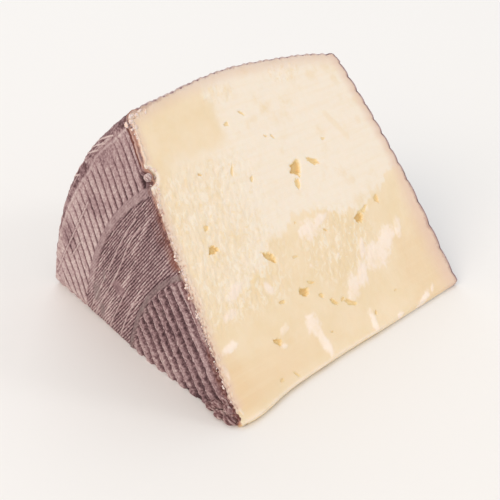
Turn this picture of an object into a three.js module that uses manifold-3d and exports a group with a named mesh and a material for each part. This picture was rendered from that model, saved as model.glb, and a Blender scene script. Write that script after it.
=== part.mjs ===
// A wedge cut from a small pressed goat cheese wheel, lying on one of its two cut faces.
// Millimetres, +Z up. X runs along the axle of the wheel, from the near flat face to the far one.
// The thin tip of the wedge is a line along X. The origin is under the middle of the wedge.

import * as THREE from "three";
import { mergeVertices } from "three/addons/utils/BufferGeometryUtils.js";
import Module from "manifold-3d";

// Size of the wheel and of the wedge
const WHEEL_RADIUS = 95;
const WHEEL_HEIGHT = 110.7;
const WEDGE_ANGLE = THREE.MathUtils.degToRad(53);
// The knife missed the middle of the wheel, so the axle runs a little off the tip
const AXLE = new THREE.Vector2(2.5, -4.4);

// Form of the wheel: its flat faces are domed, its side is bulged and its shoulders are round
const NEAR_CONE = 4.56;
const NEAR_DOME = 2.88;
const FAR_CONE = -3.44;
const FAR_DOME = 13.48;
const SIDE_BULGE = 5;
const NEAR_SHOULDER = 6;
const FAR_SHOULDER = 4;
const SHOULDER_STEPS = 4;
const WHEEL_SEGMENTS = 76;

// Pattern that the mould pressed into both flat faces: a disc and two rings, parted by raised hoops
const INNER_HOOP = 46.9;
const OUTER_HOOP = 72.6;
const HOOP_WIDTH = 2.4;
const HOOP_HEIGHT = 0.45;
const MIDDLE_RING_DROP = 0.3;
const RIM_RADIUS = 90.5;
const FACE_STEP = 11;
const DISC_GROOVES = { inner: 0, outer: 45.2, pitch: 3.7, heading: 47, half: 0.95, depth: 0.9, wave: 0.4 };
const RING_GROOVES = { inner: 74.6, outer: 89.6, pitch: 3.6, heading: 52.5, half: 0.55, depth: 0.7, wave: 0 };
const WAVE_LENGTH = 3.3;
const PLAIN_STEP = 2.8;
// The mould's far plate was turned against its near one
const FAR_PLATE_TURN = 37;
const SHORTEST_GROOVE = 3;
const GROOVE_CLEARANCE = 0.6;
const GROOVE_MARGIN = 3;

// Cords of the side band, which run round the wheel
const CORD_PITCH = 3.7;
const CORD_HEIGHT = 0.4;

// The wedge has sunk and leans a little, and its foot is pushed out along the table
const NEAR_LEAN = new THREE.Vector2(-0.004, 0.0102);
const FAR_LEAN = new THREE.Vector2(-0.0085, -0.0112);
const FOOT_SPREAD = 1.3;
const FOOT_HEIGHT = 14;
const FOOT_LENGTH = 84;

// The tip wanders in plan: a soft bulge near one end and a shallow dip past the middle
const TIP_WAVES = [{ at: 9, reach: 11, out: 1.9 }, { at: 54, reach: 20, out: -1.4 }];
const TIP_DEPTH = 15;
const TIP_BENDS = 3;
const TIP_STEPS = 30;
const BEYOND = 160;

// Eyes of the paste: place along the tip, place up the cut, length, width, turn in degrees
const UPPER_EYES = [
  { x: 61.2, s: 60.8, long: 5.4, wide: 4.2, turn: 80 },
  { x: 59.2, s: 55.9, long: 3.4, wide: 2.0, turn: 75 },
  { x: 69.6, s: 60.8, long: 5.2, wide: 1.9, turn: -38 },
  { x: 78.9, s: 37.4, long: 4.0, wide: 3.4, turn: 30 },
  { x: 83.2, s: 39.6, long: 4.6, wide: 1.4, turn: 28 },
  { x: 90.3, s: 40.7, long: 2.6, wide: 2.2, turn: 0 },
  { x: 35.9, s: 38.8, long: 4.8, wide: 2.5, turn: -50 },
  { x: 17.0, s: 47.9, long: 3.2, wide: 2.6, turn: 20 },
  { x: 43.0, s: 24.4, long: 4.4, wide: 2.1, turn: -28 },
  { x: 59.0, s: 14.2, long: 4.8, wide: 1.9, turn: -34 },
  { x: 53.2, s: 16.8, long: 3.2, wide: 1.6, turn: -38 },
  { x: 25.5, s: 15.0, long: 2.6, wide: 2.2, turn: 10 },
];
const LOWER_EYES = [
  { x: 24, s: 30, long: 4.6, wide: 2.6, turn: 40 },
  { x: 41, s: 58, long: 5.2, wide: 3.8, turn: -20 },
  { x: 66, s: 22, long: 3.6, wide: 1.9, turn: 65 },
  { x: 70, s: 47, long: 4.8, wide: 2.2, turn: -42 },
  { x: 84, s: 66, long: 3.8, wide: 3.0, turn: 15 },
  { x: 52, s: 79, long: 3.0, wide: 2.2, turn: 0 },
];
const EYE_DEPTH_SHARE = 0.36;

// A crumb broken out of the near edge of the upper cut, with a loose knob left in the gap
const NICK = { x: 5.6, s: 74, long: 7, wide: 5, deep: 3.4 };
const KNOB = { x: 6.0, s: 73.8, long: 3.6, wide: 3.0, sink: 2.2 };

const PASTE_COLOUR = 0xf2dfc4;

const wasm = await Module();
wasm.setup();

// A closed three.js geometry as a solid that can be cut and joined
function solidOf(geometry) {
  const bare = geometry.clone();
  bare.deleteAttribute("normal");
  bare.deleteAttribute("uv");
  const merged = mergeVertices(bare, 1e-4);
  return new wasm.Manifold(
    new wasm.Mesh({
      numProp: 3,
      vertProperties: merged.attributes.position.array,
      triVerts: new Uint32Array(merged.index.array),
    }),
  );
}

function geometryOf(solid) {
  const mesh = solid.getMesh();
  const geometry = new THREE.BufferGeometry();
  geometry.setAttribute("position", new THREE.BufferAttribute(mesh.vertProperties, 3));
  geometry.setIndex(new THREE.BufferAttribute(mesh.triVerts, 1));
  return geometry;
}

// Place of each flat face along the axle, at a distance from the axle
function nearFace(radius) {
  const share = radius / WHEEL_RADIUS;
  return NEAR_CONE * share + NEAR_DOME * share * share;
}

function farFace(radius) {
  const share = radius / WHEEL_RADIUS;
  return WHEEL_HEIGHT - FAR_CONE * share - FAR_DOME * share * share;
}

// Height of the hoops and depth of the ring between them, over the smooth dome
function hoopRelief(radius) {
  const reach = HOOP_WIDTH / 2;
  const nearest = Math.min(Math.abs(radius - INNER_HOOP), Math.abs(radius - OUTER_HOOP));
  if (nearest < reach) {
    return HOOP_HEIGHT;
  }
  return radius > INNER_HOOP && radius < OUTER_HOOP ? -MIDDLE_RING_DROP : 0;
}

// Radii at which a flat face's profile bends: even steps, and both edges of each hoop
function faceRadii() {
  const radii = [];
  for (let radius = FACE_STEP; radius < RIM_RADIUS; radius += FACE_STEP) {
    radii.push(radius);
  }
  for (const hoop of [INNER_HOOP, OUTER_HOOP]) {
    const crest = HOOP_WIDTH / 2 - 0.01;
    const foot = HOOP_WIDTH / 2 + 0.5;
    radii.push(hoop - foot, hoop - crest, hoop + crest, hoop + foot);
  }
  return radii.sort((a, b) => a - b);
}

// Round corner between a flat face and the side, as a curve with its ends left out
function shoulder(start, corner, end) {
  const curve = new THREE.QuadraticBezierCurve(start, corner, end);
  return curve.getPoints(SHOULDER_STEPS).slice(1, -1);
}

// Side of the wheel at a share of its width, bulged and ribbed by the cords of the band
function sideProfile(nearEnd, farEnd) {
  const cords = Math.round((farEnd - nearEnd) / CORD_PITCH);
  const points = [];
  for (let cord = 0; cord < cords; cord += 1) {
    for (const [share, rise] of [[0, 0], [0.28, 0.85], [0.72, 0.85]]) {
      const along = (cord + share) / cords;
      const bulge = SIDE_BULGE * (1 - (2 * along - 1) ** 2);
      const x = nearEnd + along * (farEnd - nearEnd);
      points.push(new THREE.Vector2(WHEEL_RADIUS + bulge + rise * CORD_HEIGHT, x));
    }
  }
  points.push(new THREE.Vector2(WHEEL_RADIUS, farEnd));
  return points;
}

// The whole wheel, turned round the axle
function wheel() {
  const near = faceRadii().map((r) => new THREE.Vector2(r, nearFace(r) - hoopRelief(r)));
  const far = faceRadii().map((r) => new THREE.Vector2(r, farFace(r) + hoopRelief(r))).reverse();
  const nearRim = new THREE.Vector2(RIM_RADIUS, nearFace(RIM_RADIUS));
  const farRim = new THREE.Vector2(RIM_RADIUS, farFace(RIM_RADIUS));
  const side = sideProfile(nearFace(WHEEL_RADIUS) + NEAR_SHOULDER, farFace(WHEEL_RADIUS) - FAR_SHOULDER);
  const nearCorner = new THREE.Vector2(WHEEL_RADIUS, nearFace(WHEEL_RADIUS) - 0.4);
  const farCorner = new THREE.Vector2(WHEEL_RADIUS, farFace(WHEEL_RADIUS) + 0.4);
  const profile = [
    new THREE.Vector2(0, nearFace(0)),
    ...near,
    nearRim,
    ...shoulder(nearRim, nearCorner, side[0]),
    ...side,
    ...shoulder(side[side.length - 1], farCorner, farRim),
    farRim,
    ...far,
    new THREE.Vector2(0, farFace(0)),
  ];
  const turned = new THREE.LatheGeometry(profile, WHEEL_SEGMENTS);
  turned.applyMatrix4(new THREE.Matrix4().set(0, 1, 0, 0, 0, 0, 1, AXLE.x, 1, 0, 0, AXLE.y, 0, 0, 0, 1));
  return solidOf(turned);
}

// How far the tip stands out in front of the straight line through its ends
function tipOut(x) {
  return TIP_WAVES.reduce((sum, wave) => sum + wave.out * Math.exp(-(((x - wave.at) / wave.reach) ** 2)), 0);
}

// The space between the two knife cuts, long enough to take in the whole wheel
function betweenCuts() {
  const up = new THREE.Vector2(Math.cos(WEDGE_ANGLE), Math.sin(WEDGE_ANGLE));
  const bends = [];
  for (let bend = TIP_BENDS; bend > 0; bend -= 1) {
    bends.push(up.clone().multiplyScalar((TIP_DEPTH * bend) / TIP_BENDS));
  }
  const outline = new THREE.Shape([
    new THREE.Vector2(0, 0),
    new THREE.Vector2(BEYOND, 0),
    up.clone().multiplyScalar(BEYOND),
    ...bends,
  ]);
  const start = -20;
  const length = WHEEL_HEIGHT + 40;
  const prism = new THREE.ExtrudeGeometry(outline, { depth: length, steps: TIP_STEPS, bevelEnabled: false });
  prism.applyMatrix4(new THREE.Matrix4().set(0, 0, 1, start, 1, 0, 0, 0, 0, 1, 0, 0, 0, 0, 0, 1));
  const places = prism.attributes.position;
  for (let i = 0; i < places.count; i += 1) {
    const upCut = Math.hypot(places.getY(i), places.getZ(i));
    if (upCut < TIP_DEPTH) {
      const share = (1 - upCut / TIP_DEPTH) ** 2;
      places.setY(i, places.getY(i) - share * tipOut(places.getX(i)));
    }
  }
  return solidOf(prism);
}

// Whether a point of a flat face is in a ring of the pattern and close enough to the wedge to matter
function inPattern(y, z, grooves) {
  const radius = Math.hypot(y - AXLE.x, z - AXLE.y);
  const overCut = z * Math.cos(WEDGE_ANGLE) - y * Math.sin(WEDGE_ANGLE);
  return radius > grooves.inner && radius < grooves.outer && z > -GROOVE_MARGIN && overCut < GROOVE_MARGIN;
}

// Straight grooves side by side across one ring, each as a run of places in the flat face
function grooveRuns(grooves, turn) {
  const heading = THREE.MathUtils.degToRad(grooves.heading + turn);
  const step = grooves.wave > 0 ? WAVE_LENGTH / 2 : PLAIN_STEP;
  const lanes = Math.ceil(WHEEL_RADIUS / grooves.pitch);
  const stops = Math.ceil(WHEEL_RADIUS / step);
  const runs = [];
  for (let lane = -lanes; lane <= lanes; lane += 1) {
    let run = [];
    for (let stop = -stops; stop <= stops + 1; stop += 1) {
      const sway = grooves.wave * (stop % 2 === 0 ? 0.5 : -0.5);
      const across = (lane + 0.5) * grooves.pitch + sway;
      const along = stop * step;
      const y = AXLE.x + along * Math.cos(heading) - across * Math.sin(heading);
      const z = AXLE.y + along * Math.sin(heading) + across * Math.cos(heading);
      if (stop <= stops && inPattern(y, z, grooves)) {
        run.push({ y, z });
      } else {
        if (run.length > 1 && (run.length - 1) * step > SHORTEST_GROOVE) {
          runs.push({ places: run, heading });
        }
        run = [];
      }
    }
  }
  return runs;
}

// A bar with a V section that follows a run of places over a domed face, to be cut out of it
function grooveBar({ places, heading }, grooves, face, outward) {
  const corners = [];
  places.forEach(({ y, z }, i) => {
    const end = i === 0 || i === places.length - 1;
    const half = grooves.half * (end ? 0.4 : 1) * (1 + GROOVE_CLEARANCE / grooves.depth);
    const depth = grooves.depth * (end ? 0.4 : 1);
    const level = face(Math.hypot(y - AXLE.x, z - AXLE.y));
    const sideY = -Math.sin(heading) * half;
    const sideZ = Math.cos(heading) * half;
    const top = level + outward * GROOVE_CLEARANCE;
    corners.push(top, y - sideY, z - sideZ, top, y + sideY, z + sideZ, level - outward * depth, y, z);
  });
  const faces = [];
  const last = (places.length - 1) * 3;
  for (let i = 0; i < last; i += 3) {
    for (const [a, b] of [[0, 1], [1, 2], [2, 0]]) {
      faces.push(i + a, i + 3 + a, i + b, i + b, i + 3 + a, i + 3 + b);
    }
  }
  faces.push(0, 1, 2, last, last + 2, last + 1);
  if (outward < 0) {
    faces.reverse();
  }
  const bar = new THREE.BufferGeometry();
  bar.setAttribute("position", new THREE.BufferAttribute(new Float32Array(corners), 3));
  bar.setIndex(faces);
  return solidOf(bar);
}

// All grooves of one flat face
function faceGrooves(face, outward, turn) {
  const bars = [];
  for (const grooves of [DISC_GROOVES, RING_GROOVES]) {
    for (const run of grooveRuns(grooves, turn)) {
      bars.push(grooveBar(run, grooves, face, outward));
    }
  }
  return bars;
}

// A lump at a place on a cut face that rises at an angle from the tip
function lumpOnCut({ x, s, long, wide, turn = 0 }, deep, angle, sink = 0) {
  const lump = new THREE.IcosahedronGeometry(0.5, 1);
  const tilt = new THREE.Matrix4().makeRotationX(angle);
  const spin = new THREE.Matrix4().makeRotationZ(THREE.MathUtils.degToRad(turn));
  lump.scale(long, wide, deep);
  lump.applyMatrix4(spin);
  lump.translate(x, s, -sink);
  lump.applyMatrix4(tilt);
  return solidOf(lump);
}

// Eyes opened by one knife cut
function eyes(list, angle) {
  return list.map((eye) => lumpOnCut(eye, eye.wide * EYE_DEPTH_SHARE * 2, angle));
}

// Lean of the sunken wedge, and the spread of the near face's foot on the table
function settle(x, y, z) {
  const far = x / WHEEL_HEIGHT;
  const lean = (1 - far) * (NEAR_LEAN.x * y + NEAR_LEAN.y * z) + far * (FAR_LEAN.x * y + FAR_LEAN.y * z);
  const along = THREE.MathUtils.clamp(y / FOOT_LENGTH, 0, 1);
  const spread = FOOT_SPREAD * Math.sin(Math.PI * along) * Math.exp(-z / FOOT_HEIGHT);
  return x + lean - spread * Math.max(0, 1 - far * 3);
}

function cheeseWedge() {
  let solid = wheel().intersect(betweenCuts());
  const cuts = [
    ...faceGrooves(nearFace, -1, 0),
    ...faceGrooves(farFace, 1, FAR_PLATE_TURN),
    ...eyes(UPPER_EYES, WEDGE_ANGLE),
    ...eyes(LOWER_EYES, 0),
    lumpOnCut(NICK, NICK.deep * 2, WEDGE_ANGLE),
  ];
  for (const cut of cuts) {
    solid = solid.subtract(cut);
  }
  solid = solid.add(lumpOnCut(KNOB, KNOB.wide, WEDGE_ANGLE, KNOB.sink));
  const geometry = geometryOf(solid);
  const places = geometry.attributes.position;
  for (let i = 0; i < places.count; i += 1) {
    places.setX(i, settle(places.getX(i), places.getY(i), places.getZ(i)));
  }
  return geometry;
}

// The origin goes under the middle of the wedge
function centred(geometry) {
  geometry.computeBoundingBox();
  const middle = geometry.boundingBox.getCenter(new THREE.Vector3());
  geometry.translate(-middle.x, -middle.y, -geometry.boundingBox.min.z);
  geometry.computeVertexNormals();
  return geometry;
}

const paste = new THREE.MeshStandardMaterial({ color: PASTE_COLOUR, roughness: 0.55, metalness: 0 });
const wedge = new THREE.Mesh(centred(cheeseWedge()), paste);
wedge.name = "cheese_wedge";

const cheese = new THREE.Group();
cheese.add(wedge);

export default cheese;
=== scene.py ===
import math
from collections import namedtuple

import bmesh
import bpy
import numpy as np
from mathutils import Matrix, Vector


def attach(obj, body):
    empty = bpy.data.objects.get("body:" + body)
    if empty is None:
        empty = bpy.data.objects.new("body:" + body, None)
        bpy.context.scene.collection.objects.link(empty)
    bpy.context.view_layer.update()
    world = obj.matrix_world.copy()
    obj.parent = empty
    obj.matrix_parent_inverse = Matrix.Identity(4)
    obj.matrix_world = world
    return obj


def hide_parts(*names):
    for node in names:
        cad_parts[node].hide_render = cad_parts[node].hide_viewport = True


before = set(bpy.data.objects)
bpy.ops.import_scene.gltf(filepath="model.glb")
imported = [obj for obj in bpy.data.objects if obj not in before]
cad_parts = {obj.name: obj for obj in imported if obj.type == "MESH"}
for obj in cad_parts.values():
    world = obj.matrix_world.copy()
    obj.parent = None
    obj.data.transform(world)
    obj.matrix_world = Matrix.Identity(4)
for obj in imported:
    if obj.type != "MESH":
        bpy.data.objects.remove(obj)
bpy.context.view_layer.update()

bl_info = {
    "name": "Goat cheese wedge",
    "version": (1, 0, 0),
    "blender": (4, 5, 0),
    "location": "3D View > Sidebar > Cheese",
    "description": "A wedge of pressed goat cheese with a wine-washed, moulded rind",
    "category": "Object",
}

# Measures are in millimetres. The wedge is worked out with its tip on the X axis: X runs along the
# wheel's axle from the near flat face to the far one, and Y and Z are measured from the tip.
NODE = "cheese_wedge"
MM = 0.001
WHEEL_RADIUS = 95.0
WHEEL_HEIGHT = 110.7
WEDGE_ANGLE = math.radians(53)
AXLE = np.array((2.5, -4.4))
NEAR_CONE = 4.56
NEAR_DOME = 2.88
FAR_CONE = -3.44
FAR_DOME = 13.48
SIDE_BULGE = 5.0
# A dip in the bulge: place along the axle, width, depth
SIDE_DIP = (73.0, 14.0, 0.65)
# How far along the axle the round corners reach, and how long a corner's skin is
NEAR_CORNER = 4.6
FAR_CORNER = 4.0
SHOULDER_LENGTH = 8.0
# Middle of the finished wedge in those measures, which is the frame's origin
MIDDLE_X = 55.369
MIDDLE_Y = 50.393

# The wedge has sunk and leans a little, and its foot is pushed out along the table
NEAR_LEAN = (-0.004, 0.0102)
FAR_LEAN = (-0.0085, -0.0112)
FOOT_SPREAD = 1.3
FOOT_HEIGHT = 14.0
FOOT_LENGTH = 84.0
# The tip is worn round and pushed out in waves: place along the axle, width, how far
TIP_WAVES = ((6.0, 12.0, 3.3), (50.0, 20.0, -0.5))
TIP_DEPTH = 15.0
TIP_ROUND = 1.5
TIP_SPREAD = 1.6
# How far from the tip the near face has lost its rind
TIP_BARE = 2.4

# Pattern of the mould's plates: a disc and two rings of grooves, parted by raised hoops
INNER_HOOP = 46.9
OUTER_HOOP = 72.6
# Soft random relief that all of them share: name, size, octaves
GRAINS = (("broad", 9, 2), ("patch", 3.4, 2), ("grit", 0.9, 2), ("dust", 0.42, 1))
DISC_HEADING = math.radians(48)
DISC_PITCH = 3.9
DISC_OFFSET = 2.82
ROPE_PITCH = 2.5
# Bowed families of grooves: the middle of the fit, then the terms of its phase in turns
RING_MIDDLE = (69.22, 38.36)
RING_TERMS = (-6.825, 4.751, 1.119, 0.803, 0.566, 0.374, 0.154)
RING_RIDGE = 0.251
RING_PITCH = 3.6
FINE_MIDDLE = (50.31, 29.44)
FINE_TERMS = (-27.985, -22.134, -1.452, -2.528, -1.22, 0.276, -0.593)
FINE_RIDGE = -0.347
FIT_SPAN = 30.0
DASH_HEADING = math.radians(129)
THREAD_HEADING = math.radians(119)
FAR_DISC_HEADING = math.radians(29)
FAR_RING_HEADING = math.radians(12)
FAR_PITCH = 3.7
CORD_PITCH = 3.7
STRAND_PITCH = 2.9
STRAND_SLANT = 3.4
# Where the pressed line before the near shoulder wanders: degrees round the wheel, radius
RIM_WANDER = ((0, 5, 12, 22, 32, 38, 42, 50, 55, 58),
              (95.6, 94.6, 93.6, 92.3, 91.0, 90.3, 91.6, 91.2, 92.0, 92.6))

# Skins: how thick the rind shows at a cut, how deep its hidden back lies and how far it is sunk from the cuts
RIND_WALL = 1.25
RIND_WALL_DIP = 0.12
RIND_BACK = 1.6
RIND_BACK_DIP = 0.9
PASTE_BACK = 1.75
PASTE_DIP = 0.02
# How much closer the paste's columns stand at both ends, and at the near end alone
END_GRADE = 0.25
NEAR_GRADE = 0.4
# Share of a ring skin's rows that lie on the flat face, and where the paste's hidden side begins
FACE_SHARE = 0.85
HIDDEN_START = 0.04
# Steps of a cut's outline: in mm on a flat face, in number round a corner and along the side
FACE_STEP = 0.1
CORNER_STEPS = 90
SIDE_STEPS = 900
# Wall of the paste by the rind at each rim of a cut: places up the cut, heights, raggedness, seed
RIM_WALLS = {
    "left": ((2, 4.5, 30, 44, 75, 79, 84, 90, 94),
             (-1.1, 0.55, 0.55, 0.32, 0.32, 0.3, 0.4, 0.5, 0.35), 0.42, 81),
    "right": ((0,), (0.5,), 0.14, 82),
    "top": ((0,), (0.34,), 0.2, 83),
}
CORNER_WALL = 0.55
# Share of the sheet over which a ragged rim dies out
RIM_FADE = 0.06

# Pale raised lines on the near face, as places measured from the tip
SCORES = (
    ((74.2, 40.4), (94.8, 6.4)),
    ((79.4, 23.7), (85.0, 16.2)),
)
FINE_LINES = (
    ((70.8, 0.6), (66.7, 8.0), (59.8, 19.2), (57.5, 23.3), (54.8, 29.5), (52.9, 34.0), (50.2, 38.5),
     (47.0, 42.8)),
    ((61.8, 0.8), (60.0, 5.0), (57.0, 10.5), (54.5, 15.5), (52.5, 19.0), (50.7, 21.5)),
    ((55.6, 1.0), (53.0, 8.0), (50.8, 12.5), (48.6, 16.5)),
    ((63.0, 21.5), (60.0, 27.0), (58.3, 30.5), (56.0, 34.5), (52.7, 40.0), (49.4, 44.6)),
    ((73.6, 1.6), (70.0, 8.6), (67.0, 13.6), (64.6, 18.4)),
)
# How they look: edge and top of the line, reach of the painted shade at the foot beside it, height, how dark
# that painted shade is, tone of the line, its share, and how rough it is
LINE_KINDS = (
    (SCORES, (0.42, 0.12), (1.1, 0.5), 0.32, 0.14, 0.86, 0.85, 0.0),
    (FINE_LINES, (0.5, 0.14), (1.0, 0.45), 0.34, 0.16, 0.84, 0.8, 0.1),
)
# Rubbed and shaded places between them: place, half sizes, how dark; and dull grey ones: place, half width
DARK_PLACES = ((86.5, 23.5, 5, 7, 0.2), (70, 40, 6, 5, 0.12))
DULL_PLACES = ((70.0, 10.5, 2.6), (65.5, 18.0, 1.4), (66.5, 4.5, 1.8))

# Pale threads that run round the near shoulder: radius, and how it rises on the way
RUNNING_THREADS = ((93.9, -0.05), (96.4, -0.11))
# Pale straws of rind across the near shoulder, as places round the wheel and out from the axle
STRAWS = (
    ((73.4, 96.0), (78.0, 94.0), (83.2, 92.4)),
    ((66.8, 97.6), (71.5, 94.8), (78.4, 91.6)),
    ((64.4, 97.0), (68.0, 94.2), (72.6, 92.2)),
    ((52.0, 96.5), (56.5, 93.0)),
)

# Eyes opened by the knife: place along the tip, place up the cut, length, width, turn, depth
UPPER_EYES = (
    (61.2, 60.8, 4.9, 4.5, 80, 1.7),
    (59.2, 55.9, 3.8, 2.0, 75, 0.9),
    (69.6, 60.8, 5.0, 2.1, -38, 1.0),
    (78.9, 37.4, 3.8, 3.3, 30, 1.6),
    (82.6, 39.4, 4.6, 1.4, 28, 0.6),
    (90.3, 40.7, 2.7, 2.1, 60, 0.9),
    (35.9, 38.8, 4.4, 2.7, -55, 1.2),
    (17.0, 47.9, 3.2, 2.5, 20, 1.3),
    (17.9, 54.6, 2.0, 1.5, 70, 0.7),
    (43.0, 24.4, 4.0, 2.5, -28, 1.4),
    (59.4, 14.2, 4.9, 1.8, -36, 0.9),
    (53.0, 16.9, 3.4, 1.5, -38, 0.9),
    (56.8, 16.4, 2.4, 0.9, 20, 0.6),
    (25.5, 15.0, 2.8, 2.0, -50, 1.1),
    (33.3, 24.8, 2.1, 1.3, -10, 0.6),
    (48.9, 20.8, 2.0, 1.3, -15, 0.6),
    (47.0, 26.0, 3.2, 0.9, -30, 0.5),
    (45.1, 35.4, 2.4, 0.9, -12, 0.4),
    (62.0, 38.8, 1.6, 0.8, -35, 0.7),
    (67.8, 7.3, 1.5, 0.8, 60, 0.6),
    (20.5, 5.2, 1.9, 0.8, -10, 0.4),
    (26.6, 4.2, 2.6, 0.8, -50, 0.4),
    (47.0, 9.2, 1.3, 0.6, -10, 0.4),
    (78.3, 66.4, 2.2, 0.9, -10, 0.4),
    (35.8, 67.5, 3.4, 1.0, 58, 0.5),
    (41.8, 62.9, 1.9, 1.4, 60, 0.5),
    (48.8, 83.3, 2.8, 0.9, -35, 0.5),
    (41.3, 81.4, 2.0, 1.2, 0, 0.5),
    (54.5, 73.8, 1.6, 0.8, -40, 0.4),
    (57.3, 72.9, 1.8, 0.8, -55, 0.4),
    (23.7, 69.8, 1.6, 0.7, -30, 0.6),
    (51.2, 45.0, 1.2, 0.7, 20, 0.4),
    (80.5, 10.3, 1.4, 0.6, 10, 0.3),
)
LOWER_EYES = (
    (24.0, 30.0, 4.6, 2.6, 40, 1.2),
    (41.0, 58.0, 5.2, 3.8, -20, 1.6),
    (66.0, 22.0, 3.6, 1.9, 65, 1.0),
    (70.0, 47.0, 4.8, 2.2, -42, 1.1),
    (84.0, 66.0, 3.8, 3.0, 15, 1.4),
    (52.0, 79.0, 3.0, 2.2, 0, 1.0),
    (33.0, 44.0, 1.8, 1.1, 30, 0.5),
    (90.0, 31.0, 2.0, 1.2, -20, 0.5),
    (58.0, 35.0, 1.6, 0.9, 50, 0.4),
)

# Pale moist smears that the knife left on the upper cut, painted pale partly as highlights: place, half
# length, half width, turn
SMEARS_AND_HIGHLIGHTS = (
    (8.6, 20.3, 3.2, 1.6, 4),
    (41.0, 14.0, 4.0, 2.9, 86),
    (42.2, 7.6, 5.4, 1.8, 99),
    (63.2, 17.8, 5.0, 2.9, 62),
    (69.4, 20.4, 4.8, 2.8, 56),
    (73.7, 27.4, 5.2, 1.1, 62),
    (79.3, 23.7, 7.2, 4.8, 6),
    (86.8, 27.0, 6.2, 3.3, 30),
    (94.4, 28.9, 4.0, 1.8, 64),
    (65.3, 5.2, 4.2, 1.5, 82),
    (55.2, 41.0, 4.6, 3.4, 0),
    (61.5, 42.6, 3.4, 1.6, 12),
    (29.4, 17.2, 2.5, 1.2, 24),
    (27.3, 13.0, 1.3, 0.9, 0),
    (90.4, 2.6, 4.6, 1.5, 24),
    (77.0, 2.4, 2.2, 1.2, 20),
    (97.6, 5.0, 2.0, 0.7, 40),
    (18.0, 34.2, 4.6, 1.7, 24),
    (13.0, 28.8, 3.0, 1.4, 14),
    (30.5, 30.5, 1.4, 2.6, 20),
    (49.8, 30.6, 0.8, 0.6, 0),
    (62.4, 29.6, 1.2, 0.7, 20),
    (3.8, 14.5, 0.9, 2.4, 0),
)

# Depth of the eyes, as a share of what is listed, and how blunt their outline is
EYE_DEPTH = 0.9
EYE_BLUNT = 2.6

# The upper cut: the border of its matt part, as places along the tip and up the cut; torn places, with how
# narrow they are, where they end and are full, and their strength; darker streak and places, with their size
PALE_BORDER = ((0, 20, 30, 40, 52, 62, 70, 78, 85, 92, 97, 104, 112),
               (26, 32, 35.5, 43, 47, 45.5, 43, 40.5, 40.5, 43, 46, 48, 50))
TORN_PLACES = ((65, 33, 0.75, 17, 8, 1.0), (43, 91.5, 0.5, 4.5, 2.5, 0.75), (74, 92, 0.55, 5, 3, 0.9))
DIM_STREAK = ((84, 74), (86, 70.5), (89.6, 64))
DIM_PLACES = ((85, 88, 3), (93, 89, 2.6), (95.5, 84, 2.4), (98, 68, 2), (76, 90, 3.4), (53, 80, 2))
# Lean of the torn strokes, which follows the knife's travel
STROKE_LEAN = math.radians(66)

# The gap of the near edge that holds a knob of rind: place along the tip, place up the cut
KNOB = (5.9, 74.2)
KNOB_MIDDLE = (74.4 * math.cos(WEDGE_ANGLE), 74.4 * math.sin(WEDGE_ANGLE))
# Past this place along the axle the knob in the gap is painted darker as shade
KNOB_SHADE_FROM = 6.2

# Knobs of rind, as place, half sizes and look: how rough, how pale, how much paler on its crags, stain, and
# how much painted shade darkens it past the place where it sinks into the gap
TIP_LOOK = (0.3, 0.42, 0.95, 0.2, 0.0)
GAP_LOOK = (0.12, 0.84, 0.9, 0.1, 0.5)
RIND_KNOBS = (
    ((-0.5, 4.6, 1.1), (1.6, 1.6, 1.4), TIP_LOOK),
    ((-0.5, 7.3, 1.2), (1.7, 1.6, 1.3), TIP_LOOK),
    ((0.3, 5.2, 3.9), (1.3, 1.4, 1.6), TIP_LOOK),
    ((-0.1, 8.6, 3.5), (1.3, 1.7, 1.2), TIP_LOOK),
    ((0.6, 6.4, 6.2), (1.0, 1.1, 1.4), TIP_LOOK),
    ((0.1, 10.6, 1.2), (1.3, 1.9, 1.0), TIP_LOOK),
    ((0.9, 3.6, 2.6), (0.8, 0.9, 1.0), TIP_LOOK),
    ((5.8, *KNOB_MIDDLE), (1.15, 1.1, 1.2), GAP_LOOK),
)

# The biggest crumbs: place along the tip, place up the cut, half sizes, turn, share of rind
LUMPS = (
    (8.1, 73.7, 0.35, 0.5, 0, 0.6),
    (7.6, 76.8, 1.0, 0.4, -35, 0.05),
    (9.0, 75.6, 0.4, 0.9, 15, 0.05),
    (7.4, 71.6, 0.5, 0.45, 0, 0.1),
    (7.7, 70.2, 0.4, 0.5, 10, 0.08),
    (7.2, 68.6, 0.4, 0.4, 10, 0.15),
    (6.2, 90.4, 0.55, 0.9, -15, 0.2),
    (8.2, 91.0, 0.9, 0.65, 20, 0.08),
    (9.0, 92.6, 0.9, 0.5, 25, 0.06),
    (10.9, 92.2, 0.8, 0.6, 10, 0.08),
    (10.0, 91.5, 0.6, 0.2, -5, 0.6),
    (9.0, 88.9, 0.8, 0.6, 40, 0.05),
    (7.5, 89.6, 0.3, 0.5, 10, 0.6),
    (14.4, 92.4, 0.35, 0.9, -20, 0.05),
    (12.6, 93.2, 0.9, 0.4, 10, 0.12),
)


def linear(code):
    """An sRGB hex colour as the linear numbers that the shader works in"""
    parts = [int(code[i:i + 2], 16) / 255 for i in (1, 3, 5)]
    return tuple(c / 12.92 if c <= 0.04045 else ((c + 0.055) / 1.055) ** 2.4 for c in parts)


# Shapes of the wheel

def near_face(radius):
    share = radius / WHEEL_RADIUS
    return NEAR_CONE * share + NEAR_DOME * share**2


def far_face(radius):
    share = radius / WHEEL_RADIUS
    return WHEEL_HEIGHT - FAR_CONE * share - FAR_DOME * share**2


SIDE_START = near_face(WHEEL_RADIUS) + NEAR_CORNER
SIDE_END = far_face(WHEEL_RADIUS) - FAR_CORNER

# A flat face: its form, its way outward, where its shoulder begins, how far the corner is pushed out and
# along, where the side begins, and the seed of the seam between them
Flank = namedtuple("Flank", "face out rim push_out push_along side seam_seed")
NEAR = Flank(near_face, -1, 92.0, 1.0, 0.9, SIDE_START, 71)
FAR = Flank(far_face, 1, 91.0, 0.5, 0.6, SIDE_END, 72)


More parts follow.
